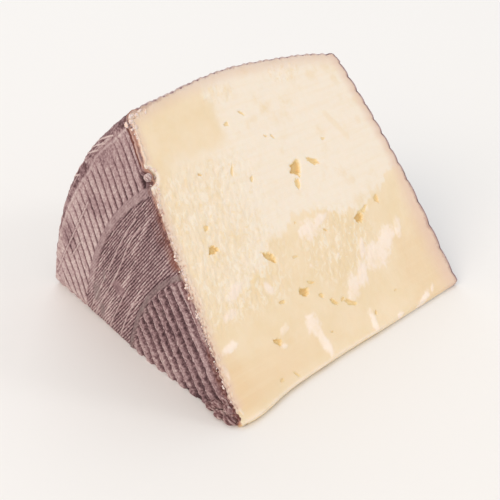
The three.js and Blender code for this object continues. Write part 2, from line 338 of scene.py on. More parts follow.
def reach(turn, radius):
    """How far from the tip a ray at an angle meets a circle about the axle"""
    along = AXLE[0] * np.cos(turn) + AXLE[1] * np.sin(turn)
    return along + np.sqrt(along**2 - AXLE @ AXLE + radius**2)


def smooth(low, high, value):
    """Rises softly from 0 to 1 as the value goes from low to high"""
    share = np.clip((value - low) / (high - low), 0, 1)
    return share * share * (3 - 2 * share)


def toward(value, goal, share):
    """Moves a value by a share of its way to a goal"""
    return value + share * (goal - value)


def turned(a, b, heading):
    """Places measured along and across a heading"""
    return a * math.cos(heading) + b * math.sin(heading), b * math.cos(heading) - a * math.sin(heading)


def off_place(a, b, at_a, at_b, size_a, size_b):
    """Distance from a place, in sizes of an oval round it"""
    return np.hypot((a - at_a) / size_a, (b - at_b) / size_b)


def tip_out(x):
    return TIP_SPREAD + sum(out * np.exp(-(((x - at) / wide) ** 2)) for at, wide, out in TIP_WAVES)


def tip_arc(share, side, height=0.0):
    """The small arc that rounds the tip, from its middle up (side 1) or down (side -1) to a cut"""
    half = WEDGE_ANGLE / 2
    angle = math.pi + half - side * share * (math.pi / 2 - half)
    centre = TIP_ROUND / math.sin(half)
    radius = TIP_ROUND + height
    return centre * math.cos(half) + radius * np.cos(angle), centre * math.sin(half) + radius * np.sin(angle)


def rounded_tip(y, z):
    """Draws places between the cuts in behind the rounded tip"""
    from_tip = np.hypot(y, z)
    turn = np.clip(np.arctan2(z, y), 0, WEDGE_ANGLE)
    upper = turn / WEDGE_ANGLE
    share = np.clip(from_tip * math.tan(WEDGE_ANGLE / 2) / TIP_ROUND, 0, 1)
    ends = (from_tip, from_tip * 0), (from_tip * math.cos(WEDGE_ANGLE), from_tip * math.sin(WEDGE_ANGLE))
    moved = []
    for i, old in enumerate((y, z)):
        arc = (1 - upper) * tip_arc(share, -1)[i] + upper * tip_arc(share, 1)[i]
        straight = (1 - upper) * ends[0][i] + upper * ends[1][i]
        moved.append(np.where(share < 1, arc + (old - straight) * share, old))
    return moved


def placed(x, y, z):
    return settled(x, *rounded_tip(y, z))


def settled(x, y, z):
    """Places measured from the tip, sunk and leaned as the wedge is, in the frame's metres"""
    share = np.clip(1 - np.hypot(y, z) / TIP_DEPTH, 0, 1)
    y = y - share**2 * tip_out(x)
    far = x / WHEEL_HEIGHT
    lean = (1 - far) * (NEAR_LEAN[0] * y + NEAR_LEAN[1] * z) + far * (FAR_LEAN[0] * y + FAR_LEAN[1] * z)
    along = np.clip(y / FOOT_LENGTH, 0, 1)
    spread = FOOT_SPREAD * np.sin(np.pi * along) * np.exp(-z / FOOT_HEIGHT)
    x = x + lean - spread * np.maximum(0, 1 - 3 * far)
    return np.column_stack((x - MIDDLE_X, y - MIDDLE_Y, np.maximum(z, 0))) * MM


def hills(across, along, size, seed, octaves=1):
    """Soft random hills from about -1 to 1, of a given size, the same at each run"""
    total = np.zeros_like(across)
    weight, reached = 1.0, 0.0
    for octave in range(octaves):
        chance = np.random.RandomState(seed * 17 + octave)
        table = chance.permutation(256)
        angles = chance.uniform(0, 2 * np.pi, 256)
        a, b = across / size * 2**octave + 31.7, along / size * 2**octave + 57.3
        cell_a, cell_b = np.floor(a).astype(int), np.floor(b).astype(int)
        part_a, part_b = a - cell_a, b - cell_b
        fade_a = part_a**3 * (part_a * (part_a * 6 - 15) + 10)
        fade_b = part_b**3 * (part_b * (part_b * 6 - 15) + 10)
        corner = {}
        for i in (0, 1):
            for j in (0, 1):
                angle = angles[table[(cell_a + i + table[(cell_b + j) & 255]) & 255]]
                corner[i, j] = np.cos(angle) * (part_a - i) + np.sin(angle) * (part_b - j)
        low = corner[0, 0] + fade_a * (corner[1, 0] - corner[0, 0])
        high = corner[0, 1] + fade_a * (corner[1, 1] - corner[0, 1])
        total = total + weight * 1.5 * (low + fade_b * (high - low))
        reached += weight
        weight *= 0.5
    return total / reached


def line_gap(y, z, points):
    """Distance from a run of straight pieces"""
    nearest = np.full_like(y, 1e9)
    for (y0, z0), (y1, z1) in zip(points, points[1:]):
        dy, dz = y1 - y0, z1 - z0
        along = np.clip(((y - y0) * dy + (z - z0) * dz) / (dy * dy + dz * dz), 0, 1)
        nearest = np.minimum(nearest, np.hypot(y - y0 - along * dy, z - z0 - along * dz))
    return nearest


def bowed(p, q, middle, terms):
    """Phase, in turns, of a family of slightly bowed grooves"""
    a, b = (p - middle[0]) / FIT_SPAN, (q - middle[1]) / FIT_SPAN
    return (terms[0] * a + terms[1] * b + terms[2] * a * a + terms[3] * a * b + terms[4] * b * b
            + terms[5] * a**3 + terms[6] * b**3)


# Relief and staining of the rind

def plate_relief(y, z, beyond, near):
    """Height in mm, and how pale, stained and grey the rind is, over one flat face and its shoulder"""
    p, q = y - AXLE[0], z - AXLE[1]
    radius = np.hypot(p, q) + beyond
    seed = 11 if near else 211
    grain = {name: hills(p, q, size, seed + number, octaves)
             for number, (name, size, octaves) in enumerate(GRAINS)}
    broad, patch, grit, dust = grain.values()
    if near:
        zones = near_disc(p, q, grain), near_middle(p, q, grain), near_outer(p, q, radius, grain)
    else:
        disc, ring = (far_cords(p, q, heading, grain) for heading in (FAR_DISC_HEADING, FAR_RING_HEADING))
        zones = disc, ring, ring
    in_disc = smooth(INNER_HOOP - 0.7, INNER_HOOP - 1.7, radius)
    in_ring = smooth(OUTER_HOOP + 0.9, OUTER_HOOP + 1.7, radius)
    in_middle = (1 - in_disc) * (1 - in_ring)
    height, pale = (sum(part * zone[i] for part, zone in zip((in_disc, in_middle, in_ring), zones))
                    for i in (0, 1))
    stain = 0.12 * smooth(0.2, 0.9, broad)
    grey = 0.25 * smooth(0.1, 0.9, patch)

    # Hoops, dull and smooth, rubbed away low on the near face
    inner = smooth(1.2, 0.5, np.abs(radius - INNER_HOOP + 0.15 * patch))
    outer = smooth(1.75, 0.95, np.abs(radius - OUTER_HOOP + 0.15 * patch))
    if near:
        outer = outer * (0.2 + 0.8 * smooth(4, 24, z)) * (0.85 + 0.3 * patch)
        inner = inner * (0.8 + 0.35 * patch)
    height = height + inner * (0.26 + 0.05 * grit - height) + outer * (0.3 + 0.04 * grit - height)
    pale = (pale + inner * (0.37 + 0.1 * grit + 0.12 * patch - pale)
            + outer * (0.6 + 0.08 * grit + 0.08 * patch - pale))
    grey = np.maximum(grey, (0.72 + 0.5 * patch) * inner + 0.3 * outer)
    if near:
        # Painted shade in the creases at the feet of the hoops, on the side of the middle ring
        edge = (smooth(0.5, 0.1, np.abs(radius - OUTER_HOOP + 1.7))
                + smooth(0.45, 0.1, np.abs(radius - INNER_HOOP - 1.25)))
        pale = pale - 0.16 * edge
        height, pale, grey = scored(y, z, in_middle, grain, height, pale, grey)

    # Shoulder, dark and rough, with pale streaks that run round the wheel
    around = np.arctan2(q, p) * WHEEL_RADIUS
    streak = hills(around / 6, radius, 1.3, seed + 7, 2)
    threads, straws = np.zeros_like(radius), np.zeros_like(radius)
    if near:
        from_rim = radius - rim_line(p, q)
        outside, rim = smooth(0.1, 0.9, from_rim), smooth(0.62, 0.2, np.abs(from_rim + 0.4))
        for start, rise in RUNNING_THREADS:
            off = radius - start - rise * (around - 45) - 0.15 * patch
            threads = np.maximum(threads, smooth(0.4, 0.1, np.abs(off)) * smooth(-0.5, 0.1, streak))
        for points in STRAWS:
            straws = np.maximum(straws, smooth(0.45, 0.1, line_gap(around, radius + 0.1 * patch, points)))
    else:
        from_rim = radius - FAR.rim
        outside, rim = smooth(0.0, 1.6, from_rim), smooth(0.5, 0.1, np.abs(from_rim - 0.2))
    rough = 0.26 * streak + 0.24 * patch + 0.14 * grit + 0.22 * threads + 0.12 * straws
    height = toward(height, rough, outside) + 0.32 * rim
    light = 0.36 + 0.4 * smooth(0.2, 0.7, streak) + 0.4 * patch + 0.36 * grit + 0.2 * dust
    pale = toward(pale, light, outside)
    pale = toward(pale, 0.95, outside * np.maximum(threads * 0.7, straws))
    pale = toward(pale, 1, rim * (0.3 + 0.2 * streak))
    stain = stain + outside * 0.1 * smooth(0.0, -0.5, patch)
    return height + 0.12 * broad + 0.07 * patch, pale + 0.03 * dust, stain, grey


def rim_line(p, q):
    """Radius of the pressed line that parts the near face from its shoulder, which wanders round the wheel"""
    return np.interp(np.degrees(np.arctan2(q, p)), *RIM_WANDER)


def near_disc(p, q, grain):
    """Cords with toothed sides, like a tight twist, with dark stitches in the grooves between"""
    along, across = turned(p, q, DISC_HEADING)
    across = across + 0.2 * grain["patch"] + 0.16 * hills(along, p * 0, 9, 31)
    turn = (across - DISC_OFFSET) / DISC_PITCH
    lane = np.round(turn)
    offset = (turn - lane) * DISC_PITCH
    pitch = 1 + 0.12 * hills(along, lane * 7.3, 8, 32)
    twist = along / ROPE_PITCH * pitch + lane * 0.37 + offset * 0.34 + 0.2 * grain["patch"]
    lobe = twist - np.floor(twist)
    tooth = smooth(0, 0.62, lobe) * smooth(1.0, 0.8, lobe)
    half = 0.86 + (0.4 * tooth - 0.12) * (offset > 0) + 0.17 * grain["grit"] + 0.12 * grain["patch"]
    cord = smooth(half + 0.24, half - 0.24, np.abs(offset))
    stitch = smooth(0.0, 0.6, hills(along, offset + lane * 5.7, 1.0, 33, 2)) * (1 - cord)
    height = 0.66 * cord + 0.06 * cord * tooth + 0.2 * stitch - 0.42 + 0.07 * grain["grit"]
    # A painted highlight along the left edge of each cord
    painted_highlight = smooth(0.45, 0.1, np.abs(np.abs(offset) - half + 0.15)) * (offset < 0)
    pale = (0.13 + 0.35 * cord + 0.05 * cord * tooth + 0.28 * stitch + 0.18 * painted_highlight
            + 0.25 * grain["grit"] + 0.1 * grain["patch"] + 0.16 * grain["dust"])
    return height, pale


def near_middle(p, q, grain):
    """Fine close grooves, broken into dashes, crossed by long pale threads that stand a little proud"""
    fine = bowed(p, q, FINE_MIDDLE, FINE_TERMS) - FINE_RIDGE + 0.12 * grain["patch"]
    along, across = turned(p, q, DASH_HEADING)
    dashes = hills(along / 3.2, -across, 0.8, 41, 2)
    along, across = turned(p, q, THREAD_HEADING)
    thread = smooth(0.16, 0.5, hills(along / 26, -across, 1.15, 42, 2))
    thread = thread * (0.55 + 0.45 * smooth(-0.3, 0.3, dashes))
    dark = smooth(0.1, 0.6, hills(along / 5, -across, 2.6, 43, 2))
    ridge = (0.75 + 0.45 * dashes) * np.cos(2 * np.pi * fine)
    height = 0.15 * ridge + 0.22 * thread - 0.34 + 0.04 * grain["grit"] + 0.06 * grain["patch"]
    pale = (0.39 + 0.44 * ridge + 0.38 * thread - 0.16 * dark
            + 0.1 * grain["patch"] + 0.26 * grain["grit"] + 0.18 * grain["dust"] + 0.06 * grain["broad"])
    return height, pale


def near_outer(p, q, radius, grain):
    """Broad dusty cords with narrow grooves between, which end in pits at the hoop"""
    ring = bowed(p, q, RING_MIDDLE, RING_TERMS) - RING_RIDGE - 0.5 + 0.04 * grain["patch"]
    gap = np.abs(ring - np.round(ring)) * RING_PITCH
    ends = smooth(92, 86, radius)
    bare = smooth(8, 3, np.hypot(p - 62.5, q - 65.5))
    wide = 0.72 + 0.12 * grain["grit"]
    groove = smooth(wide, 0.08, gap) * (0.3 + 0.7 * ends) * (0.9 + 0.4 * grain["patch"]) * (1 - 0.75 * bare)
    pit = smooth(0.95, 0.1, gap) * smooth(79, 75.2, radius)
    twill = np.cos(2 * np.pi * (p * 0.35 + q * 0.94) / 1.15) * smooth(-0.2, 0.5, grain["broad"])
    height = (0.16 - 0.6 * groove - 0.34 * pit - 0.12 * (gap / RING_PITCH)
              + 0.06 * grain["grit"] + 0.02 * twill)
    pale = (0.66 - 0.56 * groove - 0.26 * pit + 0.22 * grain["grit"] + 0.13 * grain["patch"]
            + 0.14 * grain["dust"] + 0.05 * grain["broad"] + 0.03 * twill - 0.1 * bare)
    # Each cord ends at the foot in a round toe
    foot = np.clip(1 - (q + AXLE[1]) / 5.0, 0, 1)
    height = height - 1.2 * foot * np.clip(1 - 2 * gap / RING_PITCH, 0, 1) ** 1.4
    # Painted light: paler cords on the lower part of the outer ring
    pale = pale + 0.12 * smooth(62, 30, q) * (1 - groove)
    return height, pale


def far_cords(p, q, heading, grain):
    """Broad round cords with sharp grooves between, which the knife left as lobes along the far edge"""
    turn = (turned(p, q, heading)[1] + 0.2 * grain["patch"]) / FAR_PITCH
    part = np.abs(turn - np.floor(turn) - 0.5) * 2
    height = 0.72 * (1 - part**2.4) - 0.32 + 0.05 * grain["grit"]
    pale = 0.24 + 0.38 * (1 - part**3) + 0.14 * grain["grit"] + 0.12 * grain["patch"] + 0.08 * grain["dust"]
    return height, pale


def scored(y, z, in_middle, grain, height, pale, grey):
    """The pale raised lines and rubbed places of the near face"""
    patch, grit = grain["patch"], grain["grit"]
    rubbed = smooth(1.15, 0.6, off_place(y, z, 57.4, 17.6, 3.4, 2.6) + 0.3 * patch) * in_middle
    height = toward(height, 0.14 * patch - 0.28, rubbed)
    pale = toward(pale, 0.46 + 0.2 * patch, rubbed * 0.85)
    pale = pale + 0.2 * smooth(9, 4, np.abs(y - 67)) * smooth(24, 8, z)
    for *place, darker in DARK_PLACES:
        pale = pale - darker * smooth(1.2, 0.5, off_place(y, z, *place))
    for at_y, at_z, wide in DULL_PLACES:
        dull = smooth(1.1, 0.5, off_place(y, z, at_y, at_z, wide, 1.8 * wide) + 0.3 * patch)
        pale = toward(pale, 0.5, dull * 0.7)
        grey = np.maximum(grey, 0.7 * dull)
    for runs, (edge, top), (side, foot), raised, darker, tone, share, rough in LINE_KINDS:
        for points in runs:
            gap = line_gap(y, z, points)
            line = smooth(edge, top, gap + rough * grit)
            height = height + line * raised
            # Painted shade at the foot beside each raised line
            pale = pale - darker * smooth(side, foot, gap) * (1 - line)
            pale = toward(pale, tone, line * share)
    return height, pale, grey


def near_edge_wear(y, z, height, pale, stain, grey):
    """What the knife and handling did to the near face along its edges and at its tip"""
    below_cut = y * math.sin(WEDGE_ANGLE) - z * math.cos(WEDGE_ANGLE)
    up = np.hypot(y, z)
    ragged = hills(y, z, 1.3, 61, 2)
    wide = hills(y, z, 4.0, 62, 2)
    # Red-brown bloom under the cut edge of the middle ring, and a dark thread along the whole edge
    past_hoop = smooth(48.2, 49.5, np.hypot(y - AXLE[0], z - AXLE[1]))
    bloom = smooth(6.5 + 5 * wide, 1.0, below_cut) * smooth(44, 49, up) * smooth(71, 62, up)
    bloom = bloom * past_hoop * (0.7 + 0.5 * ragged)
    foxed = smooth(5.0, 2.2, below_cut + 0.8 * wide) * smooth(57, 51, up + 2 * wide)
    foxed = foxed * past_hoop * (0.8 + 0.3 * ragged)
    thread = smooth(0.6, 0.15, np.abs(below_cut - 0.95 - 0.5 * ragged)) * (0.7 + 0.6 * wide)
    smeared = smooth(0.9 + 0.5 * ragged, 0.1, below_cut)
    stain = np.maximum.reduce((stain, 0.7 * bloom, 0.4 * thread, 0.9 * foxed))
    height = height * (1 - 0.4 * foxed)
    pale = pale - 0.1 * bloom - 0.24 * thread + 0.25 * foxed
    pale = toward(pale, 0.66 + 0.25 * ragged, smeared * 0.7)
    stain = toward(stain, 1, smeared * 0.35)
    # Dustier by the cut of the disc and low on the foot
    pale = pale + 0.14 * smooth(8, 1, below_cut) * smooth(52, 44, up) * smooth(12, 20, up)
    pale = pale + 0.14 * smooth(11, 3, z) * smooth(16, 26, y) * smooth(50, 42, y)
    height = height + smooth(2.0, 0.2, below_cut) * (0.3 * ragged - 0.5 * height - 0.05)
    # The knife has pushed the rind out into a lip, red where it is thin
    lip = smooth(34, 46, up) * np.interp(up, (74, 79, 90, 94), (1, 0.3, 0.3, 1))
    height = height + 0.45 * smooth(3.6, 0.6, below_cut) * lip
    inside = 0.74 * smooth(0.6, 0.2, below_cut + 0.4 * ragged) * smooth(30, 40, up) * smooth(-0.5, 0.1, wide)
    # and a dark crack where lip and paste part
    broken = np.maximum(smooth(-0.05, 0.3, hills(up, up * 0, 6, 66, 2)), smooth(4.5, 2.5, np.abs(up - 52)))
    crack = smooth(0.36, 0.12, np.abs(below_cut - 0.4 - 0.4 * ragged))
    crack = crack * smooth(26, 36, up) * smooth(74, 62, up) * broken
    height = height - 0.2 * crack
    pale = pale - 0.5 * crack
    stain = np.maximum(stain, 0.6 * crack)
    inside = inside * (1 - crack)
    # By the side the rind has peeled: a thread stands free, with a dark line under it
    peeled = smooth(77, 79, up) * smooth(94, 90, up)
    thread = smooth(0.4, 0.1, np.abs(below_cut - 0.35 - 0.15 * ragged)) * peeled
    line = smooth(0.6, 0.2, np.abs(below_cut - 1.0 - 0.2 * ragged)) * peeled
    height = height + 0.12 * thread - 0.3 * line
    pale = toward(pale, 0.95, thread) - 0.75 * line
    inside = np.maximum(inside, 0.72 * thread) * (1 - line)
    stain = np.maximum(stain, 0.75 * line)
    # The gap that holds the knob, sunk and painted darker as shade in the hollow
    to_knob = np.hypot(y - KNOB[1] * math.cos(WEDGE_ANGLE) - 0.6, z - KNOB[1] * math.sin(WEDGE_ANGLE) + 0.8)
    gap = smooth(3.3 + 0.7 * ragged, 1.5, to_knob)
    height = height - 1.0 * gap
    pale = pale - 0.4 * gap
    # Rind smeared into a lump at the tip, with folds that run to the point, and crumbled along the cut above
    lump = np.maximum(smooth(12.0 + 2.5 * wide, 6.5, up),
                      0.85 * smooth(3.0 + 1.2 * ragged, 1.4, below_cut) * smooth(27, 20, up + 4 * wide))
    folds = hills(up, np.arctan2(z, y + 1.0) * up * 0.35, 1.7, 63, 2)
    knobs = hills(y, z, 2.1, 64, 2)
    crags = hills(y, z, 0.85, 65, 3)
    height = toward(height, 0.25 * folds + 0.7 * knobs + 0.8 * crags + 0.4 * smooth(14, 8, up), lump)
    pale = toward(pale, 0.36 + 0.12 * folds + 0.3 * knobs + 1.1 * crags, lump)
    stain = toward(stain, 1, lump * 0.35)
    # Worn foot, which curls under where the cords meet it
    curl = np.clip(1 - z / 3.2, 0, 1) ** 2
    worn = curl * (0.35 + 0.7 * smooth(45, 78, y)) * smooth(8, 16, y)
    height = height - worn * (1 + 0.35 * ragged)
    pale = pale - 0.12 * worn
    # Folds pressed out along the foot by the tip
    foot = smooth(3.4, 0.6, z) * smooth(26, 18, y) * smooth(1, 5, y)
    height = height + foot * (0.35 * np.sin(z * 3.4 + 0.5 * wide) - 0.3 * height)
    pale = pale - foot * 0.14
    return height, pale, stain, grey, inside


def band_relief(x, around, gap_to_cut):
    """The side: a plaited band of cords that run round the wheel, each of slanting strands"""
    broad, patch, grit = (hills(x, around, size, 401 + number, 2)
                          for number, size in enumerate((10, 3.2, 0.9)))
    lanes = round((SIDE_END - SIDE_START) / CORD_PITCH)
    turn = (x - SIDE_START) / (SIDE_END - SIDE_START) * lanes
    lane = np.floor(turn)
    part = turn - lane
    crown = 1 - (2 * part - 1) ** 4
    way = np.where(lane % 2 == 0, 1.0, -1.0)
    slant = way * (part - 0.5) * STRAND_SLANT
    strand = crown * np.cos(2 * np.pi * ((around + slant) / STRAND_PITCH + 0.07 * patch))
    height = 0.36 * crown + 0.2 * strand - 0.16 + 0.04 * grit
    pale = 0.2 + 0.24 * crown + 0.16 * strand + 0.14 * grit + 0.16 * patch + 0.14 * broad
    rubbed = smooth(0.25, 0.8, hills(x, around, 17, 405, 2))
    height = toward(height, 0.1, 0.3 * rubbed)
    pale = pale + 0.16 * rubbed
    # Pressed flat and smeared by the knife at the cuts
    smeared = smooth(3.5, 0.3, gap_to_cut)
    height = toward(height, 0.05, 0.2 * smeared)
    pale = toward(pale, 0.5 + 0.5 * crown + 0.2 * patch + 0.1 * grit, smeared * 0.85 * smooth(4, 22, x))
    stain = 0.2 * smooth(0.1, 0.8, -broad) + 0.12 * smooth(0.2, 0.8, patch)
    grey = 0.35 * smooth(0.1, 0.8, hills(x, around, 12, 406))
    return height + 0.12 * broad + 0.07 * patch, pale, stain, grey


def shoulder_curve(share, flank):
    """Radius, place along the axle and outward tilt on the round corner, from the flat face to the side"""
    start = (flank.rim, flank.face(flank.rim))
    corner = (WHEEL_RADIUS + flank.push_out, flank.face(WHEEL_RADIUS) + flank.out * flank.push_along)
    end = (WHEEL_RADIUS, flank.side)
    weights = ((1 - share) ** 2, 2 * share * (1 - share), share**2)
    radius, x = (sum(w * place[i] for w, place in zip(weights, (start, corner, end))) for i in (0, 1))
    return radius, x, smooth(0, 1, share) * np.pi / 2


def face_skin(turn, radius, share, flank):
    """Points of a flat face and its shoulder: the surface, the nominal form under it and its marks"""
    on_face = share <= 0
    corner_radius, corner_x, tilt = shoulder_curve(np.clip(share, 0, 1), flank)
    from_tip = reach(turn, np.where(on_face, radius, corner_radius))
    x = np.where(on_face, flank.face(radius), corner_x)
    tilt = np.where(on_face, 0, tilt)
    return raised_face(x, from_tip * np.cos(turn), from_tip * np.sin(turn), tilt, np.maximum(share, 0), flank)


def raised_face(x, y, z, tilt, share, flank):
    """Raises the relief over nominal points of a flat face or its shoulder"""
    near = flank is NEAR
    beyond = share * SHOULDER_LENGTH - (np.hypot(y - AXLE[0], z - AXLE[1]) - flank.rim)
    height, pale, stain, grey = plate_relief(y, z, np.maximum(beyond, 0) * (share > 0), near)
    inside = np.zeros_like(height)
    if near:
        height, pale, stain, grey, inside = near_edge_wear(y, z, height, pale, stain, grey)
    # The pattern dies out where the shoulder meets the side band
    around = np.arctan2(z - AXLE[1], y - AXLE[0]) * WHEEL_RADIUS
    height = toward(height, seam_height(around, flank), smooth(0.8, 1.0, share))
    height = height + corner_swell(around, x) * (share > 0)
    # The corner at the tip is worn round, and the paste shows there
    up = np.hypot(y, z)
    bare_to = TIP_BARE if near else 0.6 * TIP_BARE
    bare = smooth(bare_to + 0.7, bare_to - 0.5, up + 0.7 * hills(y, z, 1.4, 75, 2))
    height = toward(height, -0.25, bare) - np.clip(1 - up / 5.0, 0, 1) ** 2
    return {"x": x, "y": y, "z": z, "n_x": flank.out * np.cos(tilt), "n_r": np.sin(tilt), "height": height,
            "pale": pale, "stain": stain, "grey": grey, "inside": np.maximum(inside, 2.0 * bare)}


def corner_swell(around, x):
    """Rind pushed up at the near end of the side, where the knife came out"""
    return 0.95 * smooth(78, 90, around) * smooth(8, 12, x) * smooth(26, 13, x)


def seam_height(around, flank):
    """Low swell of the line where a face skin meets the side band"""
    return 0.1 * hills(around, around * 0, 7, flank.seam_seed)


def side_skin(turn, share):
    """Points of the side between its two shoulders"""
    x = SIDE_START + share * (SIDE_END - SIDE_START)
    at, wide, deep = SIDE_DIP
    dip = deep * np.exp(-(((x - at) / wide) ** 2)) * np.sin(np.pi * share)
    from_tip = reach(turn, WHEEL_RADIUS + SIDE_BULGE * (1 - (2 * share - 1) ** 2) - dip)
    y, z = from_tip * np.cos(turn), from_tip * np.sin(turn)
    around = np.arctan2(z - AXLE[1], y - AXLE[0]) * WHEEL_RADIUS
    height, pale, stain, grey = band_relief(x, around, from_tip * np.minimum(turn, WEDGE_ANGLE - turn))
    for flank, gap in ((NEAR, share), (FAR, 1 - share)):
        height = toward(height, seam_height(around, flank), smooth(1.2, 0.0, gap * (SIDE_END - SIDE_START)))
    height = height + corner_swell(around, x)
    return {"x": x, "y": y, "z": z, "n_x": x * 0, "n_r": x * 0 + 1, "height": height,
            "pale": pale, "stain": stain, "grey": grey, "inside": x * 0}


def lifted(skin, by):
    """The skin's points, moved out along its own outward direction"""
    from_tip = np.hypot(skin["y"], skin["z"])
    turn = np.arctan2(skin["z"], skin["y"])
    from_tip = np.maximum(from_tip + by * skin["n_r"], 0)
    return skin["x"] + by * skin["n_x"], from_tip * np.cos(turn), from_tip * np.sin(turn)


def sunk_from_cuts(x, y, z, depth):
    """Points that lie on a knife cut, moved under it"""
    turn = np.arctan2(z, y)
    from_tip = np.hypot(y, z)
    on_upper = (turn > WEDGE_ANGLE - 1e-5) | (from_tip < 1e-6)
    on_lower = (turn < 1e-5) | (from_tip < 1e-6)
    y = y + on_upper * depth * math.sin(WEDGE_ANGLE)
    z = z - on_upper * depth * math.cos(WEDGE_ANGLE) + on_lower * depth
    return x, y, z


# Sheets, and how they are closed into skins

RINGS = ("ring_one", "ring_two")
MARKS = ("pale", "stain", "grey", "inside")


def laid_sheet(bm, columns, rows, place, marks):
    """Lays an even sheet of quads over a surface. place turns shares across and up into points"""
    made = bmesh.ops.create_grid(bm, x_segments=columns, y_segments=rows, size=0.5)["verts"]
    put_down(bm, made, place, marks)


def put_down(bm, made, place, marks):
    """Puts the vertices of a flat sheet in place, with the rings and marks that they carry"""
    points, rings, notes = place(*shares_of(made))
    move_to(made, points)
    for name, ring in zip(RINGS, rings):
        write_down(made, bm.verts.layers.float_vector[name], ring)
    for name in marks:
        write_down(made, bm.verts.layers.float[name], np.broadcast_to(notes[name], len(made)))


def shares_of(made):
    """Shares across and up a flat sheet"""
    return np.array([v.co[:2] for v in made]).T + 0.5


def move_to(made, points):
    for v, point in zip(made, points.tolist()):
        v.co = point


def write_down(made, layer, values):
    for v, value in zip(made, values.tolist()):
        v[layer] = value


def new_sheet(marks):
    bm = bmesh.new()
    for name in RINGS:
        bm.verts.layers.float_vector.new(name)
    for name in marks:
        bm.verts.layers.float.new(name)
    return bm


def rim_edges(bm):
    return [e for e in bm.edges if e.is_boundary]


def turned_in(bm, edges, ring, marked):
    """Extrudes a rim inwards to the ring that its vertices carry, and returns the new rim"""
    made = bmesh.ops.extrude_edge_only(bm, edges=edges)["geom"]
    layer = bm.verts.layers.float_vector[ring]
    fresh = set(v for v in made if isinstance(v, bmesh.types.BMVert))
    for v in fresh:
        v.co = v[layer]
        if marked:
            v[bm.verts.layers.float[marked]] = 1.0
    return [e for e in rim_edges(bm) if e.verts[0] in fresh and e.verts[1] in fresh]


def closed_skin(bm, rings, back_size, back, marked=None):
    """Turns a sheet's rim in, lays a coarse back under it and bridges the two"""
    edges = rim_edges(bm)
    for e in edges:
        e.smooth = False
    for ring in rings:
        edges = turned_in(bm, edges, ring, marked)
    # The rim that was turned in and the back's own rim are now the only open edges
    laid_sheet(bm, *back_size, back, ())
    bmesh.ops.bridge_loops(bm, edges=rim_edges(bm))
    for name in RINGS:
        bm.verts.layers.float_vector.remove(bm.verts.layers.float_vector[name])
    bmesh.ops.recalc_face_normals(bm, faces=bm.faces)


def finished(name, bm, material):
    """Makes the mesh a smooth-shaded piece that rides with the wedge and stands for its solid"""
    mesh = bpy.data.meshes.new(name)
    bm.to_mesh(mesh)
    bm.free()
    mesh.shade_smooth()
    mesh.materials.append(material)
    piece = bpy.data.objects.new(name, mesh)
    bpy.context.scene.collection.objects.link(piece)
    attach(piece, "root")
    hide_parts(NODE)
    return piece


def skin_place(skin_of, depth):
    """Wraps a function of shares that gives a skin into one that gives points, rings and marks"""
    def place(across, up):
        skin = skin_of(across, up)
        surface = lifted(skin, skin["height"])
        wall = sunk_from_cuts(*lifted(skin, skin["height"] - depth), RIND_WALL_DIP)
        back = sunk_from_cuts(*lifted(skin, -RIND_BACK), RIND_BACK_DIP)
        return placed(*surface), (placed(*wall), placed(*back)), skin
    return place


def back_place(skin_of, margin):
    """The coarse back of a skin, drawn in from its rim by a margin in mm"""
    def place(across, up):
        skin = skin_of(across, up)
        x, y, z = lifted(skin, -RIND_BACK)
        middle_y, middle_z = y.mean(), z.mean()
        away = np.hypot(y - middle_y, z - middle_z)
        keep = 1 - margin / np.maximum(away, margin * 2)
        y, z = middle_y + (y - middle_y) * keep, middle_z + (z - middle_z) * keep
        return placed(x, y, z), (), {}
    return place


def disc_skin(flank):
    """The disc inside the inner hoop, as a four-sided patch with corners at the tip and on the arc"""
    half = WEDGE_ANGLE / 2

    def arc(turn):
        from_tip = reach(turn, INNER_HOOP)
        return np.array((from_tip * np.cos(turn), from_tip * np.sin(turn)))

    low, mid, top = (arc(turn) for turn in (0.0, half, WEDGE_ANGLE))

    def skin_of(across, up):
        foot, head = np.outer(low, across), arc(WEDGE_ANGLE - across * half)
        left, right = np.outer(top, up), arc(up * half)
        y, z = ((1 - up) * foot + up * head + (1 - across) * left + across * right
                - np.outer(low, across * (1 - up)) - np.outer(top, (1 - across) * up)
                - np.outer(mid, across * up))
        x = flank.face(np.hypot(y - AXLE[0], z - AXLE[1]))
        return raised_face(x, y, z, x * 0, x * 0, flank)
    return skin_of


def rings_skin(flank):
    """From the inner hoop out to the end of the shoulder"""
    def skin_of(across, up):
        radius = INNER_HOOP + np.clip(up / FACE_SHARE, 0, 1) * (flank.rim - INNER_HOOP)
        return face_skin(across * WEDGE_ANGLE, radius, (up - FACE_SHARE) / (1 - FACE_SHARE), flank)
    return skin_of


def side_skin_of(across, up):
    return side_skin(up * WEDGE_ANGLE, across)


def build_skin(name, skin_of, size, back_size, margin, wall, material):
    """One skin of rind, closed all round"""
    bm = new_sheet(MARKS)
    laid_sheet(bm, *size, skin_place(skin_of, wall), MARKS)
    closed_skin(bm, RINGS, back_size, back_place(skin_of, margin), "inside")
    return finished(name, bm, material)


# The paste

PASTE_MARKS = ("pale", "smear", "eye", "torn", "near_gap", "side_gap", "far_gap")


